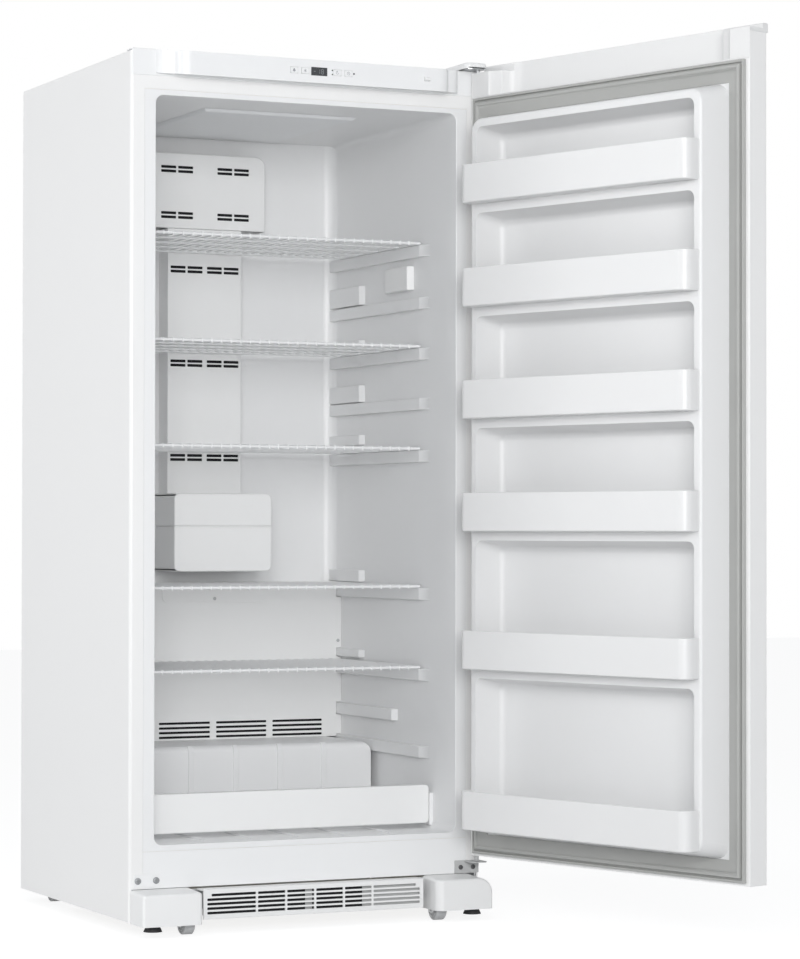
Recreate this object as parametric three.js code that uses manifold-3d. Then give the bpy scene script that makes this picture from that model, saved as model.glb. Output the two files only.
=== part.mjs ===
// Upright freezer, modelled with its door standing open.
// Millimetres, +X right, +Y into the cabinet, +Z up. Heights count from the bottom edge of the cabinet
// shell and depths from the plane of its front. The door is drawn closed and then turned on its hinge.
// The last lines put the origin on the floor, in the middle of the space that the freezer takes up.
import * as THREE from 'three';
import { mergeVertices } from 'three/addons/utils/BufferGeometryUtils.js';
import Module from 'manifold-3d';

const wasm = await Module();
wasm.setup();

// ---------------------------------------------------------------- driving dimensions
// Fits
const gap = 0.3; // between pieces that touch
const boreClearance = 0.8; // on the diameter of a pin in its hole
const keyClearance = 0.4; // around a key or plunger in its window

// Cabinet shell
const cabinetWidth = 760;
const cabinetDepth = 654;
const cabinetHeight = 1699;
const steelSheet = 0.8;
const shellEdgeRadius = 6;
const steelFlange = 29; // folded front edge at the sides
const steelFlangeTop = 75; // folded front edge at the top
const backSheet = 1.5;
const beadWidth = 30; // stiffening beads pressed into the back
const beadDepth = 3;
const beadOffset = 190;
const beadMargin = 120;

// Storage compartment
const linerWall = 2;
const openingWidth = 654;
const openingBottom = 148;
const openingTop = 1613;
const openingCorner = 16;
const openingLip = 12; // liner flange below the opening
const linerFlangeTop = 11; // liner flange above the opening
const compartmentDepth = 612;
const rearCorner = 28;
const insulationBottom = 66;

// Step in the compartment floor over the machine compartment
const humpTop = 310;
const humpFront = 380;
const humpWidth = 626;
const humpShoulder = 24;
const humpNose = 14;
const humpInsulation = 60;
const humpRibWidth = 26;
const humpRibHeight = 3;
const humpRibPitch = 101;
const humpRibCount = 5;

// Ribs on the side walls
const ribProud = 11;
const ribHeight = 25;
const ribStart = 116;
const ribRamp = 34;
const shelfLevels = [1357, 1142, 929, 642, 474]; // rib tops that carry a shelf
const spareLevels = [1248, 1038, 314]; // rib tops left free
const shortRibStart = 441;
const shortRibs = [[1251, 1293], [1155, 1175], [1040, 1077], [947, 969], [650, 676], [486, 503]];
const middleRib = { bottom: 359, top: 384, start: 273 };

// Wire shelves
const shelfWidth = 644;
const shelfFront = 152;
const shelfBack = 556;
const railGauge = 6;
const wireGauge = 3.6;
const wirePitch = 21;

// Drop-down gate at the bottom of the compartment
const gateWidth = 636;
const gateBottom = 158;
const gateHeight = 79;
const gateFront = 104;
const gateThickness = 20;
const gateWall = 2.5;
const gateCorner = 8;
const gateAxisHeight = 12; // above the gate's lower edge
const gatePin = 6;
const gatePinLength = 7;
const gateBracket = { bottom: 154, top: 220, width: 8 };

// Evaporator cover, fan box and air duct on the rear wall
const coverFront = 566;
const coverWall = 2;
const coverTop = 650;
const coverTab = { left: -95, right: 152, bottom: 605, proud: 2, corner: 14 };
const returnSlot = { width: 118, height: 5, pitch: 10, rows: 4, bottom: 314, columnPitch: 132, first: -174 };
const returnColumns = 4;
const fanBoxWidth = 223;
const fanBoxFront = 450;
const fanBoxBottom = 674;
const fanBoxTop = 840;
const fanBoxCorner = 12;
const fanBoxSplit = 770;
const splitGroove = 1;
const ductWidth = 171;
const ductFront = 560;
const ductWall = 2;
const ductHead = { width: 280, bottom: 1411, top: 1573, front: 558, corner: 20 };
const ventSlot = { width: 35, height: 6, rowPitch: 9, pairGap: 4 };
const columnVents = { heights: [1323, 1121, 918], offset: 42 };
const headVents = { heights: [1538, 1439], offset: 65 };

// Evaporator and its fan
const evaporatorWidth = 480;
const evaporatorBottom = 400;
const evaporatorTop = 590;
const evaporatorFront = 574;
const finCount = 17;
const finThickness = 3;
const finSpine = 6;
const fanRadius = 52;
const fanHub = 16;
const fanBlades = 5;
const fanChord = 22; // depth of a blade along the shaft
const bladeThickness = 2;
const bladePitch = 35; // degrees
const evaporatorFan = { x: 0, y: 520, z: 757, motorRadius: 24, motorStart: 545 };

// Sensor cover on the right wall and light cover in the ceiling
const sensor = { start: 198, end: 316, bottom: 1266, top: 1317, proud: 15, taper: 6 };
const lightCover = { width: 340, start: 140, end: 550, drop: 6, taper: 8 };

// Control header above the opening
const headerEnds = [-378, 374]; // shorter where the door turns past it
const headerEndRadius = 3;
const headerBottom = 1656;
const headerHeight = 46;
const headerDrop = 6; // how far the front of the header hangs below its back
const headerFront = 45;
const headerBulge = 656; // width of the bulge at its root
const headerFlat = 524; // width of the bulge at its front
const headerEndProud = 1.5;
const headerRoof = 30; // top flange over the shell
const headerRoofThickness = 2.7;
const controlHeight = 1673;
const display = { left: -16, right: 19, height: 17, depth: 1.5 };
const keyPlaces = [-53, -29, 41, 65];
const key = { width: 16, height: 12, proud: 0.4, depth: 2.4, travel: 0.8 };
const doorSwitch = { x: 239, width: 12, height: 8, proud: 6, length: 18, travel: 5 };

// Lower front
const lowerPanelBottom = 64;
const lowerPanelThickness = 1.2;
const plateThickness = 2; // bracket plates
const legBracket = { left: -369, right: -317, bottom: 68, top: 92, screwOffset: 19, screw: 4 };
const legCover = { outer: 377, inner: 253, bottom: 2, back: 63, front: 60, depth: 72, wall: 2.5, edge: 8 };
const legCoverCorner = { left: 4, right: 30 };

// Hinges and door swing
const hingeX = 367.6;
const hingeY = -17.1;
const hingePin = 8;
const hingePinEngagement = 10;
const doorOpenAngle = 106.4; // degrees
const lowerHinge = { left: 325, right: 379, bottom: 64, top: 88, leafLeft: 345, leafFront: -45, screwOffset: 14, screw: 4 };
const topHinge = { left: 338, thickness: 2.5, front: -32, back: 76, cabinetFoot: 34 };
const hingeCap = { left: 330, right: 380, front: -42, back: 86, height: 12, wall: 2, corner: 14 };

// Door
const doorWidth = 760;
const doorBottom = 100;
const doorPanelTop = 1696;
const doorOuter = -60.7;
const doorInner = -12.3;
const doorEdgeRadius = 5;
const doorFlange = 11.7; // folded edge behind the gasket
const doorLinerTop = 1645;
const bandLipTop = 1714;
const bandLipDepth = 13;
const bandTop = 1704;
const hingeBlockStart = 285; // the door's top is lower from here to the hinge side
const headerClearance = 8;
const moundSideGap = 4; // from the gasket to the raised inner part of the door liner
const moundEndGap = 1;
const moundRise = 52;
const moundDraft = 12;
const moundCorner = 26;
const stileWidth = 15;
const topRail = 15;
const wellBack = -15;
const wellDraft = 10;
const wellTopDraft = 14;
const wellCorner = 16;
const ledge = 17; // liner between a rack's floor and the next well
const doorLinerWall = 2;

// Door racks
const rackBottoms = [1418, 1210, 985.5, 760, 484.5, 164];
const rackHeight = 77;
const rackWidth = 620;
const rackFront = 90;
const rackCorner = 20;
const rackWall = 3;
const rackSlot = { inner: 178, outer: 298, width: 5 };

// Gasket
const gasketWidth = 740;
const gasketBottom = 106;
const gasketTop = 1643;
const gasketSpan = 40;
const gasketClearance = 0.8; // left between the gasket and the cabinet

// Handle pocket in the outer face of the door
const pocket = { left: -370, width: 70, bottom: 850, height: 300, depth: 25, wall: 2.5, rim: 5, rimProud: 1.2, corner: 14 };

// Toe grille
const grille = { width: 476, bottom: 10, top: 61, front: 36, thickness: 3, rows: 5, pitch: 9.2 };
const grilleSlot = { height: 4.6, first: 15, end: 230, topEnd: 221, bar: 4, barPitch: 62.5 };

// Base frame, rollers and feet
const rail = { inner: 338, outer: 373, bottom: 30, wall: 2, end: 640 };
const frontBar = { bottom: 20, top: 60, depth: 24 };
const outrigger = { inner: 257.5, bottom: 26, top: 30, front: 62 };
const tray = { bottom: 6, thickness: 4, lip: 34 };
const cheek = 2;
const cheekGap = 1.5;
const frontRoller = { inner: 261, width: 22, radius: 22, y: -30, sides: 24, pin: 8 };
const rearRoller = { inner: 313, width: 22, radius: 20, y: 595, sides: 24, pin: 8 };
const floorDrop = 24; // shell above the floor
const foot = { x: 345, y: -40, radius: 18.5, thickness: 8, stem: 10, lift: 10, top: 50 };

// Cooling machinery
const machineWall = 2;
const compressor = { x: 120, y: 548, radius: 74, bottom: 18, height: 168, foot: 88, footThickness: 4 };
const coil = { tube: 6.4, reach: 205, start: 70, pitch: 60, passes: 6, sides: 6, bendSteps: 4 };
const condenserFan = { x: -20, y: 466, z: 74, motorRadius: 22, motorLength: 40, post: 20 };
const drainPan = { left: -300, width: 165, front: 480, depth: 145, height: 40, wall: 2.5 };
const serviceCover = { width: 740, bottom: 12, slotWidth: 250, slotHeight: 5, slotPitch: 22, rows: 6, slotX: 150 };
const gland = { x: -300, z: 60, radius: 11, bore: 4, flange: 15, flangeThickness: 3, length: 14 };

// ---------------------------------------------------------------- derived sizes
const halfWidth = cabinetWidth / 2;
const halfOpening = openingWidth / 2;
const flangeSeam = halfWidth - steelFlange;
const machineFront = humpFront + humpInsulation;
const machineTop = humpTop - humpInsulation;
const moundWidth = gasketWidth - 2 * (gasketSpan + moundSideGap);
const moundBottom = gasketBottom + gasketSpan + moundEndGap;
const moundTop = gasketTop - gasketSpan - moundEndGap;

// ---------------------------------------------------------------- solid helpers
// Turns a closed three.js geometry into a solid that can be joined and cut.
function solid(geometry) {
  const bare = geometry.clone();
  bare.deleteAttribute('normal');
  bare.deleteAttribute('uv');
  const welded = mergeVertices(bare, 1e-4);
  return new wasm.Manifold(new wasm.Mesh({
    numProp: 3,
    vertProperties: new Float32Array(welded.attributes.position.array),
    triVerts: new Uint32Array(welded.index.array),
  }));
}

function join(...shapes) {
  return shapes.flat().reduce((whole, shape) => whole.add(shape));
}

function cut(shape, ...tools) {
  return tools.flat().reduce((rest, tool) => rest.subtract(tool), shape);
}

function block([x0, x1], [y0, y1], [z0, z1]) {
  const geometry = new THREE.BoxGeometry(x1 - x0, y1 - y0, z1 - z0);
  geometry.translate((x0 + x1) / 2, (y0 + y1) / 2, (z0 + z1) / 2);
  return solid(geometry);
}

// Outline of a rectangle with rounded corners, in the order bottom right, top right, top left, bottom left.
function roundedOutline([u0, u1], [v0, v1], radii, steps = 3) {
  const corner = Array.isArray(radii) ? radii : [radii, radii, radii, radii];
  const corners = [[u1, v0, -1, 1], [u1, v1, -1, -1], [u0, v1, 1, -1], [u0, v0, 1, 1]];
  const points = [];
  corners.forEach(([u, v, inU, inV], index) => {
    const radius = corner[index];
    if (radius === 0) {
      points.push(new THREE.Vector2(u, v));
      return;
    }
    for (let step = 0; step <= steps; step++) {
      const angle = (index - 1 + step / steps) * Math.PI / 2;
      points.push(new THREE.Vector2(
        u + radius * (inU + Math.cos(angle)),
        v + radius * (inV + Math.sin(angle)),
      ));
    }
  });
  return points;
}

function circleOutline(u, v, radius, sides, turn = 0) {
  return Array.from({ length: sides }, (_, index) => {
    const angle = (index / sides) * 2 * Math.PI + turn;
    return new THREE.Vector2(u + radius * Math.cos(angle), v + radius * Math.sin(angle));
  });
}

// Prism over an outline: axis z over (x, y), axis y over (x, z), axis x over (y, z).
function prism(axis, outline, [from, to]) {
  const geometry = new THREE.ExtrudeGeometry(new THREE.Shape(outline), {
    depth: to - from, bevelEnabled: false, curveSegments: 1,
  });
  if (axis === 'z') geometry.translate(0, 0, from);
  if (axis === 'y') geometry.rotateX(Math.PI / 2).translate(0, to, 0);
  if (axis === 'x') {
    geometry.applyMatrix4(new THREE.Matrix4().makeBasis(
      new THREE.Vector3(0, 1, 0), new THREE.Vector3(0, 0, 1), new THREE.Vector3(1, 0, 0),
    ));
    geometry.translate(from, 0, 0);
  }
  return solid(geometry);
}

function disc(axis, [u, v], radius, span, sides = 16, turn = 0) {
  return prism(axis, circleOutline(u, v, radius, sides, turn), span);
}

// Solid through a row of rings with equal point counts; each ring turns anticlockwise
// as seen from the last one.
function loft(rings) {
  const count = rings[0].length;
  const last = (rings.length - 1) * count;
  const index = [];
  for (let ring = 0; ring < last; ring += count) {
    for (let i = 0; i < count; i++) {
      const a = ring + i;
      const b = ring + (i + 1) % count;
      index.push(a, b, b + count, a, b + count, a + count);
    }
  }
  for (let i = 1; i + 1 < count; i++) {
    index.push(0, i + 1, i, last, last + i, last + i + 1);
  }
  const geometry = new THREE.BufferGeometry();
  geometry.setAttribute('position', new THREE.Float32BufferAttribute(rings.flat(2), 3));
  geometry.setIndex(index);
  return solid(geometry);
}

// Loft from a back outline to a front outline, both drawn in (x, z).
function facingLoft(sections) {
  return loft(sections.map(({ outline, y }) => outline.map((point) => [point.x, y, point.y])));
}

// Tube of a few flat sides along points that lie in one level plane.
function levelTube(route, height, radius, sides) {
  const rings = route.map((point, index) => {
    const before = route[Math.max(index - 1, 0)];
    const after = route[Math.min(index + 1, route.length - 1)];
    const along = new THREE.Vector2().subVectors(after, before).normalize();
    return Array.from({ length: sides }, (_, side) => {
      const angle = (side / sides) * 2 * Math.PI;
      const across = radius * Math.cos(angle);
      return [point.x + along.y * across, point.y - along.x * across, height - radius * Math.sin(angle)];
    });
  });
  return loft(rings);
}

// The two x limits of a piece on the left (-1) or right (1) side.
function mirrored(side, inner, outer) {
  return side < 0 ? [-outer, -inner] : [inner, outer];
}

function centred(width) {
  return [-width / 2, width / 2];
}

function finish(color, roughness, metalness = 0) {
  return new THREE.MeshStandardMaterial({ color, roughness, metalness });
}

// Adds a named piece with flat facets to a group.
function add(group, name, shape, material, place = [0, 0, 0]) {
  const { vertProperties, triVerts } = shape.getMesh();
  const indexed = new THREE.BufferGeometry();
  indexed.setAttribute('position', new THREE.BufferAttribute(Float32Array.from(vertProperties), 3));
  indexed.setIndex(new THREE.BufferAttribute(Uint32Array.from(triVerts), 1));
  const geometry = indexed.toNonIndexed();
  geometry.computeVertexNormals();
  const mesh = new THREE.Mesh(geometry, material);
  mesh.name = name;
  mesh.position.set(...place);
  group.add(mesh);
}

const sides = [{ sign: -1, name: 'left' }, { sign: 1, name: 'right' }];

const paint = { color: 0xf3f4f4, roughness: 0.32 };
const plastic = { color: 0xeceeee, roughness: 0.42 };
const bright = { color: 0xb9bcbf, roughness: 0.35 };
const dark = { color: 0x26282a, roughness: 0.6 };
const painted = () => finish(paint.color, paint.roughness);
const moulded = () => finish(plastic.color, plastic.roughness);
const zinc = () => finish(bright.color, bright.roughness, 0.9);
const black = () => finish(dark.color, dark.roughness);

// ---------------------------------------------------------------- cabinet shell and insulation
// Outer block of the cabinet, drawn in by inset: rounded top edges and rounded front edges.
function shellBlock(inset) {
  const radius = shellEdgeRadius - inset;
  const width = centred(cabinetWidth - 2 * inset);
  const front = roundedOutline(width, [-1, cabinetHeight - inset], [0, radius, radius, 0]);
  const plan = roundedOutline(width, [inset, cabinetDepth], [radius, 0, 0, radius]);
  return prism('y', front, [0, cabinetDepth]).intersect(prism('z', plan, [-1, cabinetHeight]));
}

function cabinetWrapper() {
  const window = block(
    centred(2 * flangeSeam), [-1, 2 * steelSheet], [-2, cabinetHeight - steelFlangeTop],
  );
  const below = block(centred(cabinetWidth + 2), [-1, cabinetDepth + 1], [-2, 0]);
  const legNotch = block(
    centred(cabinetWidth - 2 * shellEdgeRadius), [-1, 2 * steelSheet], [-2, lowerPanelBottom],
  );
  const hollow = cut(shellBlock(steelSheet), block(centred(cabinetWidth), [-1, steelSheet], [-2, cabinetHeight]));
  const openBack = block(
    centred(cabinetWidth - 2 * steelSheet), [cabinetDepth - 1, cabinetDepth + 1], [-2, cabinetHeight - steelSheet],
  );
  return cut(shellBlock(0), hollow, openBack, window, legNotch, below);
}

// Compartment space grown by grow on every wall; the floor steps up over the machine compartment.
function compartment(grow) {
  const front = roundedOutline(
    centred(openingWidth + 2 * grow), [openingBottom - grow, openingTop + grow], openingCorner + grow,
  );
  const plan = roundedOutline(
    centred(openingWidth + 2 * grow), [-1, compartmentDepth + grow], [0, rearCorner + grow, rearCorner + grow, 0],
  );
  const space = prism('y', front, [-1, cabinetDepth]).intersect(prism('z', plan, [0, cabinetHeight]));
  return cut(space, hump(grow));
}

function hump(shrink) {
  const shoulder = humpShoulder - shrink;
  const face = roundedOutline(
    centred(humpWidth - 2 * shrink), [0, humpTop - shrink], [0, shoulder, shoulder, 0],
  );
  const nose = humpNose - shrink;
  const side = roundedOutline([humpFront + shrink, cabinetDepth], [0, humpTop - shrink], [0, 0, nose, 0]);
  return prism('y', face, [0, cabinetDepth]).intersect(prism('x', side, centred(cabinetWidth)));
}

// Ribs moulded on one side wall, from the rear wall to a ramp near the front.
function wallRibs(side, grow) {
  const wall = halfOpening + grow;
  const face = halfOpening - ribProud - grow;
  const rib = (start, ramp, bottom, top) => {
    const outline = [
      [wall, start - grow], [wall, compartmentDepth + linerWall / 2], [face, compartmentDepth + linerWall / 2],
      [face, start + ramp - grow],
    ].map(([x, y]) => new THREE.Vector2(side * x, y));
    return prism('z', side > 0 ? outline : outline.reverse(), [bottom - grow, top + grow]);
  };
  const long = [...shelfLevels, ...spareLevels].map((top) => rib(ribStart, ribRamp, top - ribHeight, top));
  const short = shortRibs.map(([bottom, top]) => rib(shortRibStart, ribProud, bottom, top));
  const middle = rib(middleRib.start, ribProud, middleRib.bottom, middleRib.top);
  return join(long, short, middle);
}

// Ribs over the front of the hump and along the floor.
function floorRibs() {
  const outline = [
    [ribProud, openingBottom - linerWall / 2],
    [humpFront + humpNose, openingBottom - linerWall / 2],
    [humpFront + humpNose, humpTop - humpNose],
    [humpFront - humpRibHeight, humpTop - humpNose - humpRibHeight],
    [humpFront - humpRibHeight, openingBottom + humpRibHeight],
    [ribProud + humpRibHeight, openingBottom + humpRibHeight],
  ].map(([y, z]) => new THREE.Vector2(y, z));
  return Array.from({ length: humpRibCount }, (_, index) => {
    const x = (index - (humpRibCount - 1) / 2) * humpRibPitch;
    return prism('x', outline, [x - humpRibWidth / 2, x + humpRibWidth / 2]);
  });
}

// Brackets on the walls that hold the gate's pins.
function gateBrackets() {
  const axis = [gateFront + gateThickness / 2, gateBottom + gateAxisHeight];
  return sides.map(({ sign }) => {
    const plate = block(
      mirrored(sign, halfOpening - gateBracket.width, halfOpening + linerWall / 2),
      [gateFront, gateFront + gateThickness], [gateBracket.bottom, gateBracket.top],
    );
    const hole = disc(
      'x', axis, (gatePin + boreClearance) / 2,
      mirrored(sign, halfOpening - gateBracket.width - 1, halfOpening - gap), 8,
    );
    return cut(plate, hole);
  });
}

function cabinetLiner() {
  const skin = cut(compartment(linerWall), block(centred(cabinetWidth), [-2, 0], [0, cabinetHeight]));
  const flange = block(
    centred(2 * (flangeSeam - gap)), [0, linerWall], [openingBottom - openingLip, openingTop + linerFlangeTop - gap],
  );
  const tub = cut(join(skin, flange), compartment(0));
  const ribs = join(sides.map(({ sign }) => wallRibs(sign, 0)), floorRibs(), gateBrackets());
  return join(tub, ribs.intersect(compartment(linerWall)));
}

function foamInsulation() {
  const body = shellBlock(steelSheet + gap);
  const below = block(centred(cabinetWidth), [-1, cabinetDepth + 1], [-2, insulationBottom]);
  const behindFlange = block(centred(cabinetWidth), [-1, linerWall + gap], [-2, cabinetHeight]);
  const behindBack = block(
    centred(cabinetWidth), [cabinetDepth - backSheet - gap, cabinetDepth + 1], [-2, cabinetHeight],
  );
  const machineRoom = block(centred(cabinetWidth), [machineFront, cabinetDepth + 1], [-2, machineTop]);
  return cut(body, below, behindFlange, behindBack, machineRoom, compartment(linerWall + gap));
}

function backPanel() {
  const bottom = machineTop + gap;
  const top = cabinetHeight - steelSheet - gap;
  const half = halfWidth - steelSheet - gap;
  const corner = shellEdgeRadius - steelSheet - gap;
  const sheet = prism(
    'y', roundedOutline([-half, half], [bottom, top], [0, corner, corner, 0]),
    [cabinetDepth - backSheet, cabinetDepth],
  );
  const beads = [-beadOffset, beadOffset].map((x) => block(
    [x - beadWidth / 2, x + beadWidth / 2], [cabinetDepth - backSheet / 2, cabinetDepth + beadDepth],
    [bottom + beadMargin, top - beadMargin],
  ));
  return join(sheet, beads);
}

function lowerFrontPanel() {
  return block(
    centred(2 * (flangeSeam - gap)), [0, lowerPanelThickness], [lowerPanelBottom, openingBottom - openingLip - gap],
  );
}

// ---------------------------------------------------------------- control header
// Plan of the bulge: an S-shaped flank on each side of a flat front, drawn with a clearance all round.
function bulgePlan(clearance) {
  const root = headerBulge / 2 + clearance * 0.75;
  const flat = headerFlat / 2 + clearance * 0.75;
  const front = -(headerFront + clearance);
  const middle = (root + flat) / 2;
  const shape = new THREE.Shape();
  shape.moveTo(-root, 1);
  shape.lineTo(-root, 0);
  shape.bezierCurveTo(-root, front / 2, -middle, front / 3, -middle, front / 2);
  shape.bezierCurveTo(-middle, front, -flat - 8, front, -flat, front);
  shape.lineTo(flat, front);
  shape.bezierCurveTo(flat + 8, front, middle, front, middle, front / 2);
  shape.bezierCurveTo(middle, front / 3, root, front / 2, root, 0);
  shape.lineTo(root, 1);
  return shape.getPoints(4);
}

function controlHeader() {
  const reach = -headerFront;
  const profile = [
    [-gap, headerBottom], [-gap, headerBottom + headerHeight], [reach, headerBottom + headerHeight - headerDrop],
    [reach, headerBottom - headerDrop],
  ].map(([y, z]) => new THREE.Vector2(y, z));
  const bulge = prism('z', bulgePlan(0), [headerBottom - headerDrop, headerBottom + headerHeight])
    .intersect(prism('x', profile, headerEnds));
  const ends = (back) => roundedOutline(headerEnds, [-headerEndProud, back], [headerEndRadius, 0, 0, headerEndRadius]);
  const band = prism('z', ends(headerRoof), [headerBottom - headerDrop, headerBottom + headerHeight]);
  const shellSpace = block(
    centred(cabinetWidth), [-gap, headerRoof + 1], [0, headerBottom + headerHeight - headerRoofThickness],
  );
  return cut(join(bulge, band), shellSpace, controlPockets());
}

function controlPockets() {
  const window = (x, width, height, depth) => block(
    [x - width / 2, x + width / 2], [-headerFront - 1, -headerFront + depth],
    [controlHeight - height / 2, controlHeight + height / 2],
  );
  const displayWidth = display.right - display.left;
  const screen = window((display.left + display.right) / 2, displayWidth, display.height, display.depth);
  const keys = keyPlaces.map((x) => window(
    x, key.width + 2 * keyClearance, key.height + 2 * keyClearance, key.depth - key.proud + key.travel + gap,
  ));
  const plunger = window(
    doorSwitch.x, doorSwitch.width + 2 * keyClearance, doorSwitch.height + 2 * keyClearance,
    doorSwitch.length - doorSwitch.proud + doorSwitch.travel + gap,
  );
  return [screen, ...keys, plunger];
}

function displayLens() {
  const width = display.right - display.left - 2 * gap;
  const middle = (display.left + display.right) / 2;
  const half = display.height / 2 - gap;
  return block(
    [middle - width / 2, middle + width / 2], [-headerFront, -headerFront + display.depth - gap],
    [controlHeight - half, controlHeight + half],
  );
}

function keyCap() {
  const outline = roundedOutline(centred(key.width), centred(key.height), 2, 2);
  return prism('y', outline, [-headerFront - key.proud, -headerFront - key.proud + key.depth]);
}

function switchPlunger() {
  const tip = -headerFront - doorSwitch.proud;
  const half = { width: doorSwitch.width / 2, height: doorSwitch.height / 2 };
  const side = [
    [tip, -half.height / 2], [tip + half.height, -half.height], [tip + doorSwitch.length, -half.height],
    [tip + doorSwitch.length, half.height], [tip + half.height, half.height], [tip, half.height / 2],
  ].map(([y, z]) => new THREE.Vector2(y, z)).reverse();
  return prism('x', side, [-half.width, half.width]);
}

// ---------------------------------------------------------------- inside the compartment
function wireShelf() {
  const half = shelfWidth / 2;
  const inner = cut(
    block([-half, half], [shelfFront, shelfBack], [0, railGauge]),
    block([-half + railGauge, half - railGauge], [shelfFront + railGauge, shelfBack - railGauge], [-1, railGauge + 1]),
  );
  const wires = [];
  const count = Math.floor((shelfWidth - 2 * railGauge - wirePitch) / wirePitch / 2);
  for (let index = -count; index <= count; index++) {
    const x = index * wirePitch;
    wires.push(block(
      [x - wireGauge / 2, x + wireGauge / 2],
      [shelfFront + railGauge / 2, shelfBack - railGauge / 2],
      [(railGauge - wireGauge) / 2, (railGauge + wireGauge) / 2],
    ));
  }
  return join(inner, wires);
}

function foodGate() {
  const axis = [gateFront + gateThickness / 2, gateBottom + gateAxisHeight];
  const face = (inset) => roundedOutline(
    centred(gateWidth - 2 * inset), [gateBottom + inset, gateBottom + gateHeight - inset], gateCorner - inset, 3,
  );
  const shell = cut(
    prism('y', face(0), [gateFront, gateFront + gateThickness]),
    prism('y', face(gateWall), [gateFront + gateWall, gateFront + gateThickness + 1]),
  );
  const pins = sides.map(({ sign }) => disc(
    'x', axis, gatePin / 2, mirrored(sign, gateWidth / 2 - gateWall, gateWidth / 2 + gatePinLength), 8,
  ));
  return join(shell, pins);
}

// One group of supply vents: two slots side by side in two rows.
function vents(x, height, front) {
  return [-1, 1].flatMap((column) => [-1, 1].map((row) => {
    const middle = x + column * (ventSlot.width + ventSlot.pairGap) / 2;
    const level = height + row * ventSlot.rowPitch / 2;
    return block(
      [middle - ventSlot.width / 2, middle + ventSlot.width / 2], [front - 1, front + ductWall + 1],
      [level - ventSlot.height / 2, level + ventSlot.height / 2],
    );
  }));
}

function airDuct() {
  const back = compartmentDepth - gap;
  const span = [fanBoxTop + gap, ductHead.bottom - gap];
  const half = ductWidth / 2;
  const shell = cut(
    block([-half, half], [ductFront, back], span),
    block([-half + ductWall, half - ductWall], [ductFront + ductWall, back + 1], [span[0] - 1, span[1] + 1]),
  );
  const slots = columnVents.heights.flatMap((height) => [-1, 1].flatMap(
    (sign) => vents(sign * columnVents.offset, height, ductFront),
  ));
  return cut(shell, slots);
}

function ductHeadCover() {
  const back = compartmentDepth - gap;
  const outline = (inset) => roundedOutline(
    [-ductHead.width / 2 + inset, ductHead.width / 2 - inset],
    [ductHead.bottom + inset, ductHead.top - inset],
    [0, ductHead.corner - inset, ductHead.corner - inset, 0],
  );
  const shell = cut(
    prism('y', outline(0), [ductHead.front, back]),
    prism('y', outline(ductWall), [ductHead.front + ductWall, back + 1]),
    block(centred(ductWidth - 2 * ductWall), [ductFront + ductWall, back + 1], [ductHead.bottom - 1, ductHead.top / 2 + ductHead.bottom / 2]),
  );
  const slots = headVents.heights.flatMap((height) => [-1, 1].flatMap(
    (sign) => vents(sign * headVents.offset, height, ductHead.front),
  ));
  return cut(shell, slots);
}

function fanCover() {
  const back = compartmentDepth - gap;
  const outline = (inset) => roundedOutline(
    [-fanBoxWidth / 2 + inset, fanBoxWidth / 2 - inset], [fanBoxBottom + inset, fanBoxTop - inset],
    fanBoxCorner - inset,
  );
  const groove = cut(
    block(centred(fanBoxWidth + 2), [fanBoxFront - 1, back - 20], [fanBoxSplit - splitGroove, fanBoxSplit + splitGroove]),
    block(
      centred(fanBoxWidth - 2 * splitGroove), [fanBoxFront + splitGroove, back],
      [fanBoxSplit - 2 * splitGroove, fanBoxSplit + 2 * splitGroove],
    ),
  );
  const airWay = block(
    centred(ductWidth - 2 * ductWall), [ductFront + ductWall, back + 1], [fanBoxTop - 3 * coverWall, fanBoxTop + 1],
  );
  const lowerWay = block(
    centred(ductWidth - 2 * ductWall), [ductFront + ductWall, back + 1], [fanBoxBottom - 1, fanBoxBottom + 3 * coverWall],
  );
  return cut(
    prism('y', outline(0), [fanBoxFront, back]),
    prism('y', outline(coverWall), [fanBoxFront + coverWall, back + 1]),
    groove, airWay, lowerWay,
  );
}

function evaporatorCover() {
  const half = halfOpening - gap;
  const plate = block([-half, half], [coverFront, coverFront + coverWall], [humpTop + gap, coverTop]);
  const roofHalf = halfOpening - rearCorner;
  const roof = block([-roofHalf, roofHalf], [coverFront, compartmentDepth - gap], [coverTop - coverWall, coverTop]);
  const tab = prism(
    'y',
    roundedOutline([coverTab.left, coverTab.right], [coverTab.bottom, coverTop], [coverTab.corner, 0, 0, coverTab.corner]),
    [coverFront - coverTab.proud, coverFront + coverWall / 2],
  );
  const slots = [];
  for (let column = 0; column < returnColumns; column++) {
    const x = returnSlot.first + column * returnSlot.columnPitch - returnSlot.width / 2;
    for (let row = 0; row < returnSlot.rows; row++) {
      const z = returnSlot.bottom + row * returnSlot.pitch;
      slots.push(block([x, x + returnSlot.width], [coverFront - 1, coverFront + coverWall + 1], [z, z + returnSlot.height]));
    }
  }
  return cut(join(plate, roof, tab), slots, sides.map(({ sign }) => wallRibs(sign, gap)));
}

// Evaporator as a stack of upright fins on a spine against the rear wall.
function evaporatorCoil() {
  const back = compartmentDepth - gap;
  const pitch = (evaporatorWidth - finThickness) / (finCount - 1);
  const outline = [[-evaporatorWidth / 2, back]];
  for (let index = 0; index < finCount; index++) {
    const x = -evaporatorWidth / 2 + index * pitch;
    outline.push(
      [x, back - finSpine], [x, evaporatorFront],
      [x + finThickness, evaporatorFront], [x + finThickness, back - finSpine],
    );
  }
  outline.push([evaporatorWidth / 2, back]);
  const points = outline.map(([x, y]) => new THREE.Vector2(x, y));
  return prism('z', points, [evaporatorBottom, evaporatorTop]);
}

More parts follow.
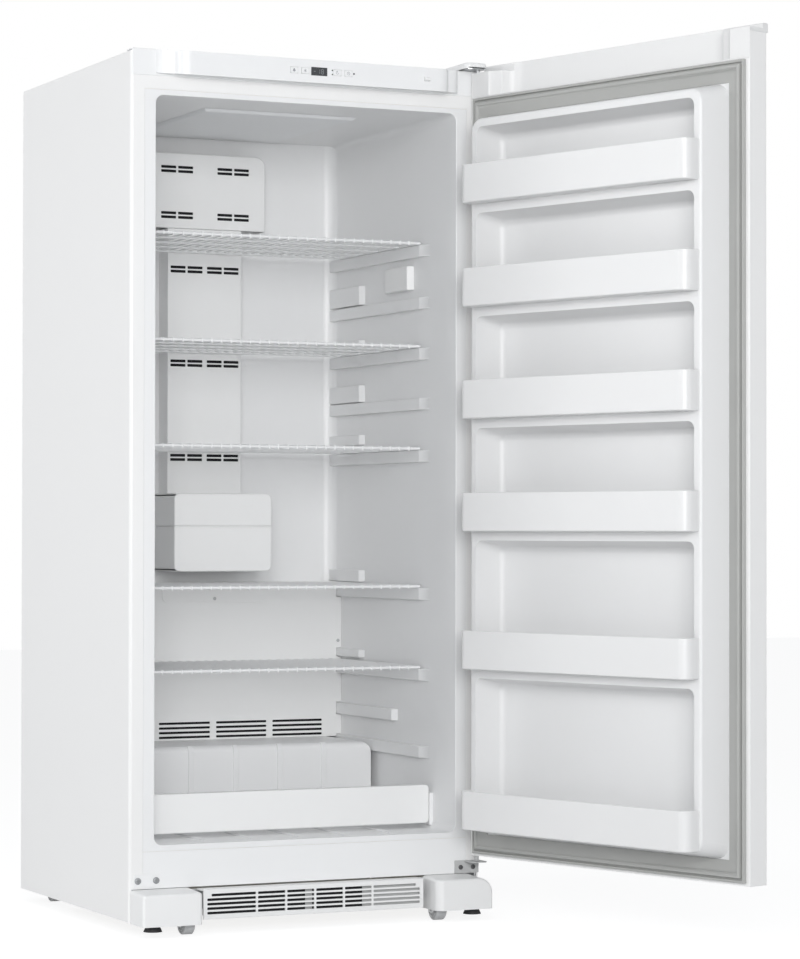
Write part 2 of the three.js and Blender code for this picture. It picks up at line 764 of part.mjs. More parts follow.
// Fan with its shaft along Y: a hub and pitched blades.
function fanWheel(motorGap) {
  const hub = disc('y', [0, 0], fanHub, centred(fanChord), 12);
  const shaft = disc('y', [0, 0], fanHub / 4, [0, fanChord / 2 + motorGap - gap], 6);
  const blades = Array.from({ length: fanBlades }, (_, index) => {
    const blade = new THREE.BoxGeometry(fanChord, bladeThickness, fanRadius - fanHub + 2);
    blade.translate(0, 0, (fanRadius + fanHub) / 2 - 1);
    blade.rotateZ(THREE.MathUtils.degToRad(bladePitch));
    blade.rotateY((index / fanBlades) * 2 * Math.PI);
    return solid(blade);
  });
  return join(hub, shaft, blades);
}

function evaporatorFanMotor() {
  const back = compartmentDepth - gap;
  return disc('y', [evaporatorFan.x, evaporatorFan.z], evaporatorFan.motorRadius, [evaporatorFan.motorStart, back], 16);
}

function sensorCover() {
  const wall = halfOpening - gap;
  const outline = [
    [wall, sensor.start], [wall, sensor.end], [wall - sensor.proud, sensor.end - sensor.taper],
    [wall - sensor.proud, sensor.start + sensor.taper / 3],
  ].map(([x, y]) => new THREE.Vector2(x, y));
  return prism('z', outline, [sensor.bottom, sensor.top]);
}

function ceilingLightCover() {
  const ceiling = openingTop - gap;
  const outline = [
    [lightCover.start, ceiling], [lightCover.start + lightCover.taper, ceiling - lightCover.drop],
    [lightCover.end - lightCover.taper, ceiling - lightCover.drop], [lightCover.end, ceiling],
  ].map(([y, z]) => new THREE.Vector2(y, z));
  return prism('x', outline, centred(lightCover.width));
}

// ---------------------------------------------------------------- hinges and lower front
function legBracketPlate() {
  const plate = block(
    [legBracket.left, legBracket.right], [-gap - plateThickness, -gap], [legBracket.bottom, legBracket.top],
  );
  const middle = [(legBracket.left + legBracket.right) / 2, (legBracket.bottom + legBracket.top) / 2];
  const holes = [-1, 1].map((side) => disc(
    'y', [middle[0] + side * legBracket.screwOffset, middle[1]], legBracket.screw / 2, [-gap - plateThickness - 1, 0], 8,
  ));
  return cut(plate, holes);
}

function lowerHingeBracket() {
  const plate = block(
    [lowerHinge.left, lowerHinge.right], [-gap - plateThickness, -gap],
    [lowerHinge.bottom, lowerHinge.top + plateThickness],
  );
  const leaf = prism(
    'z',
    roundedOutline([lowerHinge.leafLeft, lowerHinge.right], [lowerHinge.leafFront, -gap], [8, 0, 0, 8]),
    [lowerHinge.top, lowerHinge.top + plateThickness],
  );
  const pin = disc(
    'z', [hingeX, hingeY], hingePin / 2, [lowerHinge.top + plateThickness / 2, doorBottom + hingePinEngagement], 12,
  );
  const middle = [(lowerHinge.left + lowerHinge.right) / 2, (lowerHinge.bottom + lowerHinge.top) / 2];
  const holes = [-1, 1].map((side) => disc(
    'y', [middle[0] + side * lowerHinge.screwOffset, middle[1]], lowerHinge.screw / 2, [-gap - plateThickness - 1, 0], 8,
  ));
  return cut(join(plate, leaf, pin), holes);
}

function upperHinge() {
  const under = headerBottom + headerHeight + gap;
  const plate = prism(
    'z', roundedOutline([topHinge.left, halfWidth], [topHinge.front, topHinge.back], [10, 4, 4, 10], 2),
    [under, under + topHinge.thickness],
  );
  const standing = block(
    [topHinge.left, halfWidth - shellEdgeRadius], [topHinge.cabinetFoot, topHinge.back - 4],
    [cabinetHeight + gap, under + topHinge.thickness / 2],
  );
  const pin = disc(
    'z', [hingeX, hingeY], hingePin / 2, [doorPanelTop - hingePinEngagement, under + topHinge.thickness / 2], 12,
  );
  return join(plate, standing, pin);
}

// Arched cap over the top hinge, open below.
function hingeCover() {
  const base = headerBottom + headerHeight + gap;
  const half = (hingeCap.right - hingeCap.left) / 2;
  const cap = (inset) => {
    const plan = roundedOutline(
      [hingeCap.left + inset, hingeCap.right - inset], [hingeCap.front + inset, hingeCap.back - inset],
      hingeCap.corner - inset, 3,
    );
    const middle = (hingeCap.left + hingeCap.right) / 2;
    const arch = Array.from({ length: 7 }, (_, step) => {
      const angle = (step / 6) * Math.PI;
      return new THREE.Vector2(
        middle + (half - inset) * Math.cos(angle),
        base + hingeCap.height - inset - 5 + 5 * Math.sin(angle),
      );
    });
    const face = [
      new THREE.Vector2(middle - half + inset, base - inset), new THREE.Vector2(middle + half - inset, base - inset),
      ...arch,
    ];
    return prism('z', plan, [base - inset, base + hingeCap.height + 1])
      .intersect(prism('y', face, [hingeCap.front, hingeCap.back]));
  };
  const footSpace = block(
    [topHinge.left - gap, hingeCap.right + 1], [hingeCap.front - 1, topHinge.back + gap],
    [base - 1, base + topHinge.thickness + gap],
  );
  return cut(cap(0), cap(hingeCap.wall), footSpace);
}

function legCoverShell(sign, corner) {
  const body = (inset) => {
    const profile = [
      [-gap + inset * 2, legCover.bottom - inset * 2], [-gap + inset * 2, legCover.back - inset],
      [-legCover.depth + legCover.edge, legCover.front - inset],
      [-legCover.depth + legCover.edge * 0.3 + inset, legCover.front - legCover.edge * 0.3 - inset],
      [-legCover.depth + inset, legCover.front - legCover.edge - inset], [-legCover.depth + inset, legCover.bottom - inset * 2],
    ].map(([y, z]) => new THREE.Vector2(y, z)).reverse();
    const span = mirrored(sign, legCover.inner + inset, legCover.outer - inset);
    const radius = Math.max(corner - inset, 0.5);
    const inner = Math.max(legCoverCorner.left - inset, 0.5);
    const radii = sign > 0 ? [0, radius, inner, 0] : [0, inner, radius, 0];
    const face = roundedOutline(span, [legCover.bottom - inset * 2, legCover.back - inset], radii);
    return prism('x', profile, span).intersect(prism('y', face, [-legCover.depth - 1, 1 + inset * 2]));
  };
  return cut(body(0), body(legCover.wall));
}

function toeGrille() {
  const plate = block(centred(grille.width), [-grille.front, -grille.front + grille.thickness], [grille.bottom, grille.top]);
  const roof = block(centred(grille.width), [-grille.front, -gap], [grille.top - grille.thickness, grille.top]);
  const slots = [];
  const bars = Math.floor(grilleSlot.end / grilleSlot.barPitch / 1.5);
  for (let row = 0; row < grille.rows; row++) {
    const end = row === grille.rows - 1 ? grilleSlot.topEnd : grilleSlot.end;
    const z = grilleSlot.first + row * grille.pitch;
    const edges = [-end];
    for (let bar = -bars; bar <= bars; bar++) edges.push(bar * grilleSlot.barPitch);
    edges.push(end);
    for (let i = 0; i + 1 < edges.length; i++) {
      const from = edges[i] + (i === 0 ? 0 : grilleSlot.bar / 2);
      const to = edges[i + 1] - (i + 2 === edges.length ? 0 : grilleSlot.bar / 2);
      slots.push(block(
        [from, to], [-grille.front - 1, -grille.front + grille.thickness + 1],
        [z - grilleSlot.height / 2, z + grilleSlot.height / 2],
      ));
    }
  }
  return cut(join(plate, roof), slots);
}

// ---------------------------------------------------------------- base frame, rollers and feet
const frontAxle = [frontRoller.y, -floorDrop + frontRoller.radius];
const rearAxle = [rearRoller.y, -floorDrop + rearRoller.radius];

// A cheek plate with a rounded lower end round the axle.
function rollerCheek(span, [y, z], top, pin) {
  const half = 14;
  const outline = [
    new THREE.Vector2(y + half, top), new THREE.Vector2(y - half, top),
    ...Array.from({ length: 5 }, (_, step) => {
      const angle = Math.PI * (1 + step / 4);
      return new THREE.Vector2(y + half * Math.cos(angle), z + 8 * Math.sin(angle));
    }),
  ];
  const hole = disc('x', [y, z], (pin + boreClearance) / 2, [span[0] - 1, span[1] + 1], 12);
  return cut(prism('x', outline, span), hole);
}

function rollerCheeks(sign, roller, axle, top) {
  const inner = roller.inner - cheekGap;
  const outer = roller.inner + roller.width + cheekGap;
  return [
    rollerCheek(mirrored(sign, inner - cheek, inner), axle, top, roller.pin),
    rollerCheek(mirrored(sign, outer, outer + cheek), axle, top, roller.pin),
  ];
}

function baseFrame() {
  const railTop = insulationBottom - gap;
  const start = lowerPanelThickness + gap;
  const channel = (sign) => cut(
    block(mirrored(sign, rail.inner, rail.outer), [start, rail.end], [rail.bottom, railTop]),
    block(
      mirrored(sign, rail.inner + rail.wall, rail.outer - rail.wall), [start - 1, rail.end + 1],
      [rail.bottom - 1, railTop - rail.wall],
    ),
  );
  const bar = block(centred(2 * rail.inner + rail.wall), [0, frontBar.depth], [frontBar.bottom, frontBar.top]);
  const arm = (sign) => cut(
    block(mirrored(sign, outrigger.inner, rail.outer), [-outrigger.front, frontBar.depth], [outrigger.bottom, outrigger.top + gap]),
    disc('z', [sign * foot.x, foot.y], (foot.stem + boreClearance) / 2, [outrigger.bottom - 1, outrigger.top + 1], 12),
  );
  const floor = block(centred(2 * rail.inner + rail.wall), [machineFront, rail.end], [tray.bottom, tray.bottom + tray.thickness]);
  const lip = (sign) => block(
    mirrored(sign, rail.inner - rail.wall / 2, rail.inner + rail.wall / 2), [machineFront, rail.end],
    [tray.bottom, tray.bottom + tray.lip],
  );
  const wheelHole = (sign) => block(
    mirrored(sign, rearRoller.inner - cheekGap, rearRoller.inner + rearRoller.width + cheekGap),
    [rearRoller.y - rearRoller.radius - 4, rearRoller.y + rearRoller.radius + 4],
    [tray.bottom - 1, tray.bottom + tray.thickness + 1],
  );
  const frame = join(
    channel(-1), channel(1), bar, arm(-1), arm(1), floor, lip(-1), lip(1),
    rollerCheeks(-1, frontRoller, frontAxle, outrigger.bottom + 1),
    rollerCheeks(1, frontRoller, frontAxle, outrigger.bottom + 1),
    rollerCheeks(-1, rearRoller, rearAxle, tray.bottom + 1),
    rollerCheeks(1, rearRoller, rearAxle, tray.bottom + 1),
  );
  return cut(frame, wheelHole(-1), wheelHole(1));
}

// A roller with a flat facet downwards and a stub pin at each end, centred on its axle.
function rollerWheel({ width, radius, sides: count, pin }) {
  const corner = radius / Math.cos(Math.PI / count);
  const turn = Math.PI / count;
  const reach = width / 2 + cheekGap + cheek - gap;
  return join(
    disc('x', [0, 0], corner, centred(width), count, turn),
    disc('x', [0, 0], pin / 2, [-reach, reach], 8),
  );
}

function levellingFoot() {
  const sole = foot.lift - floorDrop;
  const pad = new THREE.CylinderGeometry(foot.radius * 0.8, foot.radius, foot.thickness, 20);
  pad.rotateX(Math.PI / 2).translate(0, 0, sole + foot.thickness / 2);
  return join(solid(pad), disc('z', [0, 0], foot.stem / 2, [sole + foot.thickness / 2, foot.top], 12));
}

// ---------------------------------------------------------------- cooling machinery
function compressorBody() {
  const { radius, bottom, height } = compressor;
  const profile = [
    [0, bottom], [radius * 0.78, bottom], [radius * 0.96, bottom + height * 0.12], [radius, bottom + height * 0.3],
    [radius, bottom + height * 0.62], [radius * 0.93, bottom + height * 0.8], [radius * 0.7, bottom + height * 0.94],
    [radius * 0.35, bottom + height], [0, bottom + height],
  ].map(([r, z]) => new THREE.Vector2(r, z));
  const shell = new THREE.LatheGeometry(profile, 18).rotateX(Math.PI / 2);
  const under = tray.bottom + tray.thickness + gap;
  const feet = prism(
    'z', roundedOutline(centred(2 * compressor.foot), centred(1.6 * compressor.foot), 12, 2),
    [bottom, bottom + compressor.footThickness],
  );
  const grommets = [-1, 1].flatMap((x) => [-1, 1].map((y) => disc(
    'z', [x * compressor.foot * 0.86, y * compressor.foot * 0.66], 8, [under, bottom + compressor.footThickness / 2], 8,
  )));
  return join(solid(shell), feet, grommets);
}

// Condenser tube laid in level passes under the insulated floor.
function condenserCoil() {
  const radius = coil.tube / 2;
  const route = [];
  for (let pass = 0; pass < coil.passes; pass++) {
    const direction = pass % 2 === 0 ? 1 : -1;
    const y = coil.start + pass * coil.pitch;
    if (pass === 0) route.push(new THREE.Vector2(-coil.reach, y));
    if (pass === coil.passes - 1) {
      route.push(new THREE.Vector2(direction * coil.reach, y));
      continue;
    }
    for (let step = 0; step <= coil.bendSteps; step++) {
      const angle = -Math.PI / 2 + Math.PI * step / coil.bendSteps;
      route.push(new THREE.Vector2(
        direction * (coil.reach + coil.pitch / 2 * Math.cos(angle)), y + coil.pitch / 2 * (1 + Math.sin(angle)),
      ));
    }
  }
  return levelTube(route, insulationBottom - gap - radius, radius, coil.sides);
}

function condenserFanMotor() {
  const { x, z, motorRadius, motorLength, post } = condenserFan;
  const start = condenserFan.y + fanChord;
  const body = disc('y', [x, z], motorRadius, [start, start + motorLength], 16);
  const stand = block(
    [x - post / 2, x + post / 2], [start + motorLength / 4, start + motorLength * 3 / 4],
    [tray.bottom + tray.thickness + gap, z],
  );
  return join(body, stand);
}

function drainPanDish() {
  const { left, width, front, depth, height, wall } = drainPan;
  const base = tray.bottom + tray.thickness + gap;
  const outer = facingUp([left, left + width], [front, front + depth], [base, base + height], 0);
  const inner = facingUp([left, left + width], [front, front + depth], [base + wall, base + height + 1], wall);
  return cut(outer, inner);
}

// Dish block that narrows a little towards its base.
function facingUp([x0, x1], [y0, y1], [z0, z1], inset) {
  const ring = (shrink, z) => roundedOutline(
    [x0 + shrink, x1 - shrink], [y0 + shrink, y1 - shrink], 12 - inset, 2,
  ).map((point) => [point.x, point.y, z]);
  return loft([ring(inset + 6, z0), ring(inset, z1)]);
}

function serviceCoverPlate() {
  const plate = block(
    centred(serviceCover.width), [cabinetDepth - backSheet, cabinetDepth], [serviceCover.bottom, machineTop - gap],
  );
  const slots = [-1, 1].flatMap((side) => Array.from({ length: serviceCover.rows }, (_, row) => {
    const z = serviceCover.bottom + 100 + row * serviceCover.slotPitch;
    const x = side * serviceCover.slotX;
    return block(
      [x - serviceCover.slotWidth / 2, x + serviceCover.slotWidth / 2],
      [cabinetDepth - backSheet - 1, cabinetDepth + 1], [z, z + serviceCover.slotHeight],
    );
  }));
  const cordHole = disc('y', [gland.x, gland.z], gland.radius + gap, [cabinetDepth - backSheet - 1, cabinetDepth + 1], 12);
  return cut(plate, slots, cordHole);
}

function cordGland() {
  const body = disc('y', [gland.x, gland.z], gland.radius, [cabinetDepth - gland.length / 2, cabinetDepth + gland.length / 2], 12);
  const collar = disc(
    'y', [gland.x, gland.z], gland.flange, [cabinetDepth + gap, cabinetDepth + gap + gland.flangeThickness], 12,
  );
  const bore = disc('y', [gland.x, gland.z], gland.bore, [cabinetDepth - gland.length, cabinetDepth + gland.length], 8);
  return cut(join(body, collar), bore);
}

// ---------------------------------------------------------------- door
const doorHalf = doorWidth / 2;
const bandBottom = doorLinerTop + gap;

function doorPlan(inset) {
  const radius = doorEdgeRadius - inset;
  return roundedOutline(
    [-doorHalf + inset, doorHalf - inset], [doorOuter + inset, doorInner], [radius, 0, 0, radius],
  );
}

function handleSpace(grow) {
  const { left, width, bottom, height, depth, corner } = pocket;
  const outline = roundedOutline(
    [left - grow, left + width + grow], [bottom - grow, bottom + height + grow], corner + grow,
  );
  return prism('y', outline, [doorOuter - 2, doorOuter + depth + grow]);
}

function doorOuterPanel() {
  const full = prism('z', doorPlan(0), [doorBottom, doorPanelTop]);
  const hollow = prism('z', doorPlan(steelSheet), [doorBottom + steelSheet, doorPanelTop + 1])
    .intersect(block(centred(doorWidth), [doorOuter - 1, doorInner - steelSheet], [0, 2 * cabinetHeight]));
  const window = block(
    centred(doorWidth - 2 * doorFlange), [doorInner - 2 * steelSheet, doorInner + 1],
    [doorBottom + doorFlange, 2 * cabinetHeight],
  );
  const band = block(
    centred(doorWidth - 2 * steelSheet), [doorInner - 2 * steelSheet, doorInner + 1], [doorLinerTop, 2 * cabinetHeight],
  );
  const pinHole = disc('z', [hingeX, hingeY], hingePin / 2 + boreClearance, [doorBottom - 1, doorBottom + 2], 12);
  return cut(full, hollow, window, band, pinHole, handleSpace(gap));
}

// Raised middle of the door liner, shrunk by inset and carried straight down to its base.
function mound(inset, base = doorInner - 1) {
  const half = moundWidth / 2;
  const ring = (shrink) => roundedOutline(
    [-half + shrink, half - shrink], [moundBottom + shrink, moundTop - shrink], moundCorner - inset, 2,
  );
  return facingLoft([
    { outline: ring(moundDraft + inset), y: moundRise - inset },
    { outline: ring(moundDraft / 3 + inset), y: moundRise / 4 },
    { outline: ring(inset), y: doorInner },
    { outline: ring(inset), y: base },
  ]);
}

// Wells between the racks, grown by grow. Each reaches from its rack's floor to the ledge of the next rack.
function wells(grow, corner = wellCorner + grow) {
  const half = moundWidth / 2 - moundDraft - stileWidth;
  return rackBottoms.map((bottom, index) => {
    const ceiling = index === 0 ? moundTop - moundDraft - topRail : rackBottoms[index - 1] - ledge;
    const front = roundedOutline(
      [-half - grow, half + grow], [bottom - grow, ceiling + grow], corner, 2,
    );
    const back = roundedOutline(
      [-half + wellDraft - grow, half - wellDraft + grow], [bottom - grow, ceiling - wellTopDraft + grow],
      corner, 2,
    );
    const rise = moundRise - wellBack;
    const beyond = 4 / rise;
    const spread = (a, b) => a.map((point, i) => new THREE.Vector2().lerpVectors(b[i], point, 1 + beyond));
    return facingLoft([
      { outline: spread(front, back), y: moundRise + 4 },
      { outline: back, y: wellBack - grow },
    ]);
  });
}

function doorLiner() {
  const half = doorHalf - doorFlange - gap;
  const back = wellBack - doorLinerWall;
  const border = block([-half, half], [back, doorInner], [doorBottom + doorFlange + gap, doorLinerTop]);
  const outside = cut(join(mound(0), border), wells(0));
  return cut(outside, cut(mound(doorLinerWall, back - 1), wells(doorLinerWall)));
}

function doorInsulation() {
  const inset = steelSheet + gap;
  const skin = doorLinerWall + gap;
  const slabFront = wellBack - skin;
  const slab = prism('z', doorPlan(inset), [doorBottom + inset, doorLinerTop - gap])
    .intersect(block(centred(doorWidth), [doorOuter, slabFront], [0, 2 * cabinetHeight]));
  const fill = cut(mound(skin, slabFront - 1), wells(skin, 0));
  const pinHole = disc(
    'z', [hingeX, hingeY], hingePin / 2 + boreClearance, [doorBottom, doorBottom + hingePinEngagement + 2], 12,
  );
  return cut(join(slab, fill), pinHole, handleSpace(pocket.wall + gap));
}

// Moulding along the top of the door, scooped to go round the header.
function doorTopBand() {
  const inset = steelSheet + gap;
  const body = prism('z', doorPlan(inset), [bandBottom, doorPanelTop + 1]);
  const half = doorHalf;
  const roofEnd = hingeBlockStart;
  const roof = block([-half, roofEnd], [doorOuter, doorInner], [doorPanelTop + gap, bandTop]);
  const lip = prism(
    'x',
    [
      [doorOuter + bandLipDepth, doorPanelTop + gap], [doorOuter + bandLipDepth, bandLipTop - 3],
      [doorOuter + bandLipDepth - 3, bandLipTop], [doorOuter + 1, bandLipTop], [doorOuter - 2, bandLipTop - 3],
      [doorOuter - 2, doorPanelTop + gap],
    ].map(([y, z]) => new THREE.Vector2(y, z)),
    [-half, half],
  );
  const scoop = prism('z', bulgePlan(headerClearance), [bandBottom - 1, bandLipTop + 1]);
  const pinHole = disc(
    'z', [hingeX, hingeY], (hingePin + boreClearance) / 2, [doorPanelTop - hingePinEngagement - 2, doorPanelTop + 2], 12,
  );
  return cut(join(body, roof, lip), scoop, pinHole);
}

// Gasket: one section carried round the door with mitred corners.
function doorGasket() {
  const rise = -gasketClearance - doorInner - gap;
  const section = [
    [0, 0], [0, rise * 0.8], [5, rise * 0.8], [5, rise * 0.35], [9, rise * 0.35], [9, rise], [16, rise],
    [20, rise * 0.45], [gasketSpan, rise * 0.25], [gasketSpan, 0],
  ];
  const half = gasketWidth / 2;
  const corners = [[half, gasketBottom, -1, 1], [half, gasketTop, -1, -1], [-half, gasketTop, 1, -1], [-half, gasketBottom, 1, 1]];
  const count = section.length;
  const points = corners.flatMap(([x, z, inX, inZ]) => section.map(
    ([inward, height]) => [x + inX * inward, doorInner + gap + height, z + inZ * inward],
  ));
  const index = [];
  for (let corner = 0; corner < corners.length; corner++) {
    const next = (corner + 1) % corners.length;
    for (let i = 0; i < count; i++) {
      const j = (i + 1) % count;
      const [a, b, c, d] = [corner * count + i, corner * count + j, next * count + j, next * count + i];
      index.push(a, b, c, a, c, d);
    }
  }
  const geometry = new THREE.BufferGeometry();
  geometry.setAttribute('position', new THREE.Float32BufferAttribute(points.flat(), 3));
  geometry.setIndex(index);
  return solid(geometry);
}

function handlePocket() {
  const { left, width, bottom, height, depth, wall, rim, rimProud, corner } = pocket;
  const back = doorOuter + depth;
  const cup = (inset, from, to) => prism('y', roundedOutline(
    [left + inset, left + width - inset], [bottom + inset, bottom + height - inset], corner - inset,
  ), [from, to]);
  const flange = prism('y', roundedOutline(
    [left - rim, left + width + rim], [bottom - rim, bottom + height + rim], corner + rim,
  ), [doorOuter - gap - rimProud, doorOuter - gap]);
  return cut(
    join(cup(0, doorOuter - gap - rimProud / 2, back), flange),
    cup(wall, doorOuter - 2 * rimProud - 1, back - wall),
  );
}

// Rack front that wraps back to the stiles, with a narrow floor.
function doorRack() {
  const half = rackWidth / 2;
  const back = moundRise + gap;
  const plan = (inset) => roundedOutline(
    [-half + inset, half - inset], [back - 2 * inset, rackFront - inset], [0, rackCorner - inset, rackCorner - inset, 0], 4,
  );
  const wall = cut(
    prism('z', plan(0), [0, rackHeight]),
    prism('z', plan(rackWall), [rackWall, rackHeight + 1]),
  );
  const slots = sides.map(({ sign }) => block(
    mirrored(sign, rackSlot.inner, rackSlot.outer), [back - 1, back + rackSlot.width], [-1, rackWall + 1],
  ));
  return cut(wall, slots);
}

// ---------------------------------------------------------------- assembly
const freezer = new THREE.Group();

add(freezer, 'cabinet_wrapper', cabinetWrapper(), painted());
add(freezer, 'back_panel', backPanel(), zinc());
add(freezer, 'foam_insulation', foamInsulation(), finish(0xe6dfc0, 0.95));
add(freezer, 'cabinet_liner', cabinetLiner(), moulded());
add(freezer, 'lower_front_panel', lowerFrontPanel(), painted());

add(freezer, 'control_header', controlHeader(), moulded());
add(freezer, 'display_lens', displayLens(), finish(0x1f2224, 0.2));
keyPlaces.forEach((x, index) => add(freezer, `key_${index + 1}`, keyCap(), moulded(), [x, 0, controlHeight]));
add(freezer, 'door_switch_plunger', switchPlunger(), moulded(), [doorSwitch.x, 0, controlHeight]);

shelfLevels.forEach((level, index) => add(
  freezer, `wire_shelf_${index + 1}`, wireShelf(), finish(0xf5f5f5, 0.4), [0, 0, level + gap],
));
add(freezer, 'food_gate', foodGate(), moulded());
add(freezer, 'evaporator_cover', evaporatorCover(), moulded());
add(freezer, 'evaporator_coil', evaporatorCoil(), finish(0xc9ccce, 0.4, 0.8));
add(freezer, 'fan_cover', fanCover(), moulded());
add(freezer, 'evaporator_fan', fanWheel(evaporatorFan.motorStart - evaporatorFan.y - fanChord / 2), black(), [
  evaporatorFan.x, evaporatorFan.y, evaporatorFan.z,
]);
add(freezer, 'evaporator_fan_motor', evaporatorFanMotor(), zinc());
add(freezer, 'air_duct', airDuct(), moulded());
add(freezer, 'duct_head', ductHeadCover(), moulded());
add(freezer, 'sensor_cover', sensorCover(), moulded());
add(freezer, 'light_cover', ceilingLightCover(), finish(0xf7f8f8, 0.3));

add(freezer, 'top_hinge', upperHinge(), zinc());
add(freezer, 'hinge_cover', hingeCover(), moulded());
add(freezer, 'lower_hinge_bracket', lowerHingeBracket(), zinc());
add(freezer, 'leg_bracket', legBracketPlate(), painted());
sides.forEach(({ sign, name }) => add(
  freezer, `leg_cover_${name}`, legCoverShell(sign, legCoverCorner[name]), moulded(),
));
add(freezer, 'toe_grille', toeGrille(), moulded());

add(freezer, 'base_frame', baseFrame(), zinc());
sides.forEach(({ sign, name }) => {
  const front = sign * (frontRoller.inner + frontRoller.width / 2);
  const rear = sign * (rearRoller.inner + rearRoller.width / 2);
  add(freezer, `front_roller_${name}`, rollerWheel(frontRoller), finish(0x8a8d8f, 0.5), [front, ...frontAxle]);
  add(freezer, `rear_roller_${name}`, rollerWheel(rearRoller), finish(0x8a8d8f, 0.5), [rear, ...rearAxle]);
  add(freezer, `levelling_foot_${name}`, levellingFoot(), black(), [sign * foot.x, foot.y, 0]);
});

add(freezer, 'compressor', compressorBody(), black(), [compressor.x, compressor.y, 0]);
add(freezer, 'condenser_coil', condenserCoil(), finish(0x3a3c3e, 0.5, 0.6));
add(freezer, 'condenser_fan', fanWheel(fanChord / 2), black(), [condenserFan.x, condenserFan.y, condenserFan.z]);
add(freezer, 'condenser_fan_motor', condenserFanMotor(), zinc());
add(freezer, 'drain_pan', drainPanDish(), black());
add(freezer, 'service_cover', serviceCoverPlate(), zinc());
add(freezer, 'cord_gland', cordGland(), black());

// The door group turns about the hinge pins.
const door = new THREE.Group();
door.position.set(-hingeX, -hingeY, 0);
add(door, 'door_outer_panel', doorOuterPanel(), painted());
add(door, 'door_insulation', doorInsulation(), finish(0xe6dfc0, 0.95));
add(door, 'door_liner', doorLiner(), moulded());
add(door, 'door_gasket', doorGasket(), finish(0xb4b5b1, 0.7));
add(door, 'door_top_band', doorTopBand(), moulded());
add(door, 'handle_pocket', handlePocket(), moulded());
rackBottoms.forEach((bottom, index) => add(door, `door_rack_${index + 1}`, doorRack(), moulded(), [0, 0, bottom]));

const doorSwing = new THREE.Group();
doorSwing.position.set(hingeX, hingeY, 0);
doorSwing.rotation.z = THREE.MathUtils.degToRad(doorOpenAngle);
doorSwing.add(door);
freezer.add(doorSwing);

// Origin on the floor in the middle of the footprint.
const reach = new THREE.Box3().setFromObject(freezer, true);
freezer.position.set(-(reach.min.x + reach.max.x) / 2, -(reach.min.y + reach.max.y) / 2, -reach.min.z);

export default freezer;
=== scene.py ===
import math

import bmesh
import bpy
from mathutils import Matrix, Vector


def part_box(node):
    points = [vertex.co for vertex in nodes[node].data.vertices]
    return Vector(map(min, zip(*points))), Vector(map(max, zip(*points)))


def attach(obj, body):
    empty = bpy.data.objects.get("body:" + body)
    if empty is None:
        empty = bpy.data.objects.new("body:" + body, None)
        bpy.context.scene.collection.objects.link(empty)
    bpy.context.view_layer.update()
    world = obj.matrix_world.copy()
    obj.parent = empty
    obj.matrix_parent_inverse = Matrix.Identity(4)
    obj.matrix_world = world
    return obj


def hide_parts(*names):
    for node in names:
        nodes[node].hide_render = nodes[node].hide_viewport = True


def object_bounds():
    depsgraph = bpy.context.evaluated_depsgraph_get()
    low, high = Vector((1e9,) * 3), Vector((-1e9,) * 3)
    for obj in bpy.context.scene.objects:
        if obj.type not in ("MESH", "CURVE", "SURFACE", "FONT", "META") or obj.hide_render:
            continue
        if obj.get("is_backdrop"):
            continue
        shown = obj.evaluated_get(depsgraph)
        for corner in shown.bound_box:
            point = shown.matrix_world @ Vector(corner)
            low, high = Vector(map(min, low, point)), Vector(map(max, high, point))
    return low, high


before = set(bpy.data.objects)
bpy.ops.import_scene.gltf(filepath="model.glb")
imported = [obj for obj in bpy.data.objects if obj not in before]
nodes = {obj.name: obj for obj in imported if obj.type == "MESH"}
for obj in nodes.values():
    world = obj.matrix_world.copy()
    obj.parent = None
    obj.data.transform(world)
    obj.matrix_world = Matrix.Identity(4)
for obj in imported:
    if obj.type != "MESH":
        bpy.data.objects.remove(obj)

cad_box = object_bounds()
scene = bpy.context.scene

# ---------------------------------------------------------------- camera
# A long lens stands low and to the left of the freezer, almost level, and takes in the whole of it.
camera = bpy.data.objects.new("camera", bpy.data.cameras.new("camera"))
scene.collection.objects.link(camera)
focal_length_px, picture_height_px = 3137.4, 959
camera.data.sensor_width = 36
camera.data.lens = focal_length_px / picture_height_px * camera.data.sensor_width
camera.data.clip_end = 60
camera.location = (-2.6384, -5.6960, 0.7854)
camera.rotation_mode = "XYZ"
camera.rotation_euler = (math.radians(90 + 0.933), math.radians(-0.074), math.radians(-25.37))
scene.camera = camera

# ---------------------------------------------------------------- studio
# White seamless floor that keeps a soft shadow under the freezer, with four large soft lamps and a
# pale surround. Only the camera and mirror-like rays see the surround at full white.
scene.view_settings.view_transform = "Standard"


def seen_directly(tree):
    """Value that is 1 for rays from the camera, a mirror or a window."""
    path = tree.nodes.new("ShaderNodeLightPath")
    either = tree.nodes.new("ShaderNodeMath")
    either.operation = "MAXIMUM"
    tree.links.new(path.outputs["Is Camera Ray"], either.inputs[0])
    tree.links.new(path.outputs["Is Glossy Ray"], either.inputs[1])
    through = tree.nodes.new("ShaderNodeMath")
    through.operation = "MAXIMUM"
    tree.links.new(either.outputs[0], through.inputs[0])
    tree.links.new(path.outputs["Is Transmission Ray"], through.inputs[1])
    return through.outputs[0]


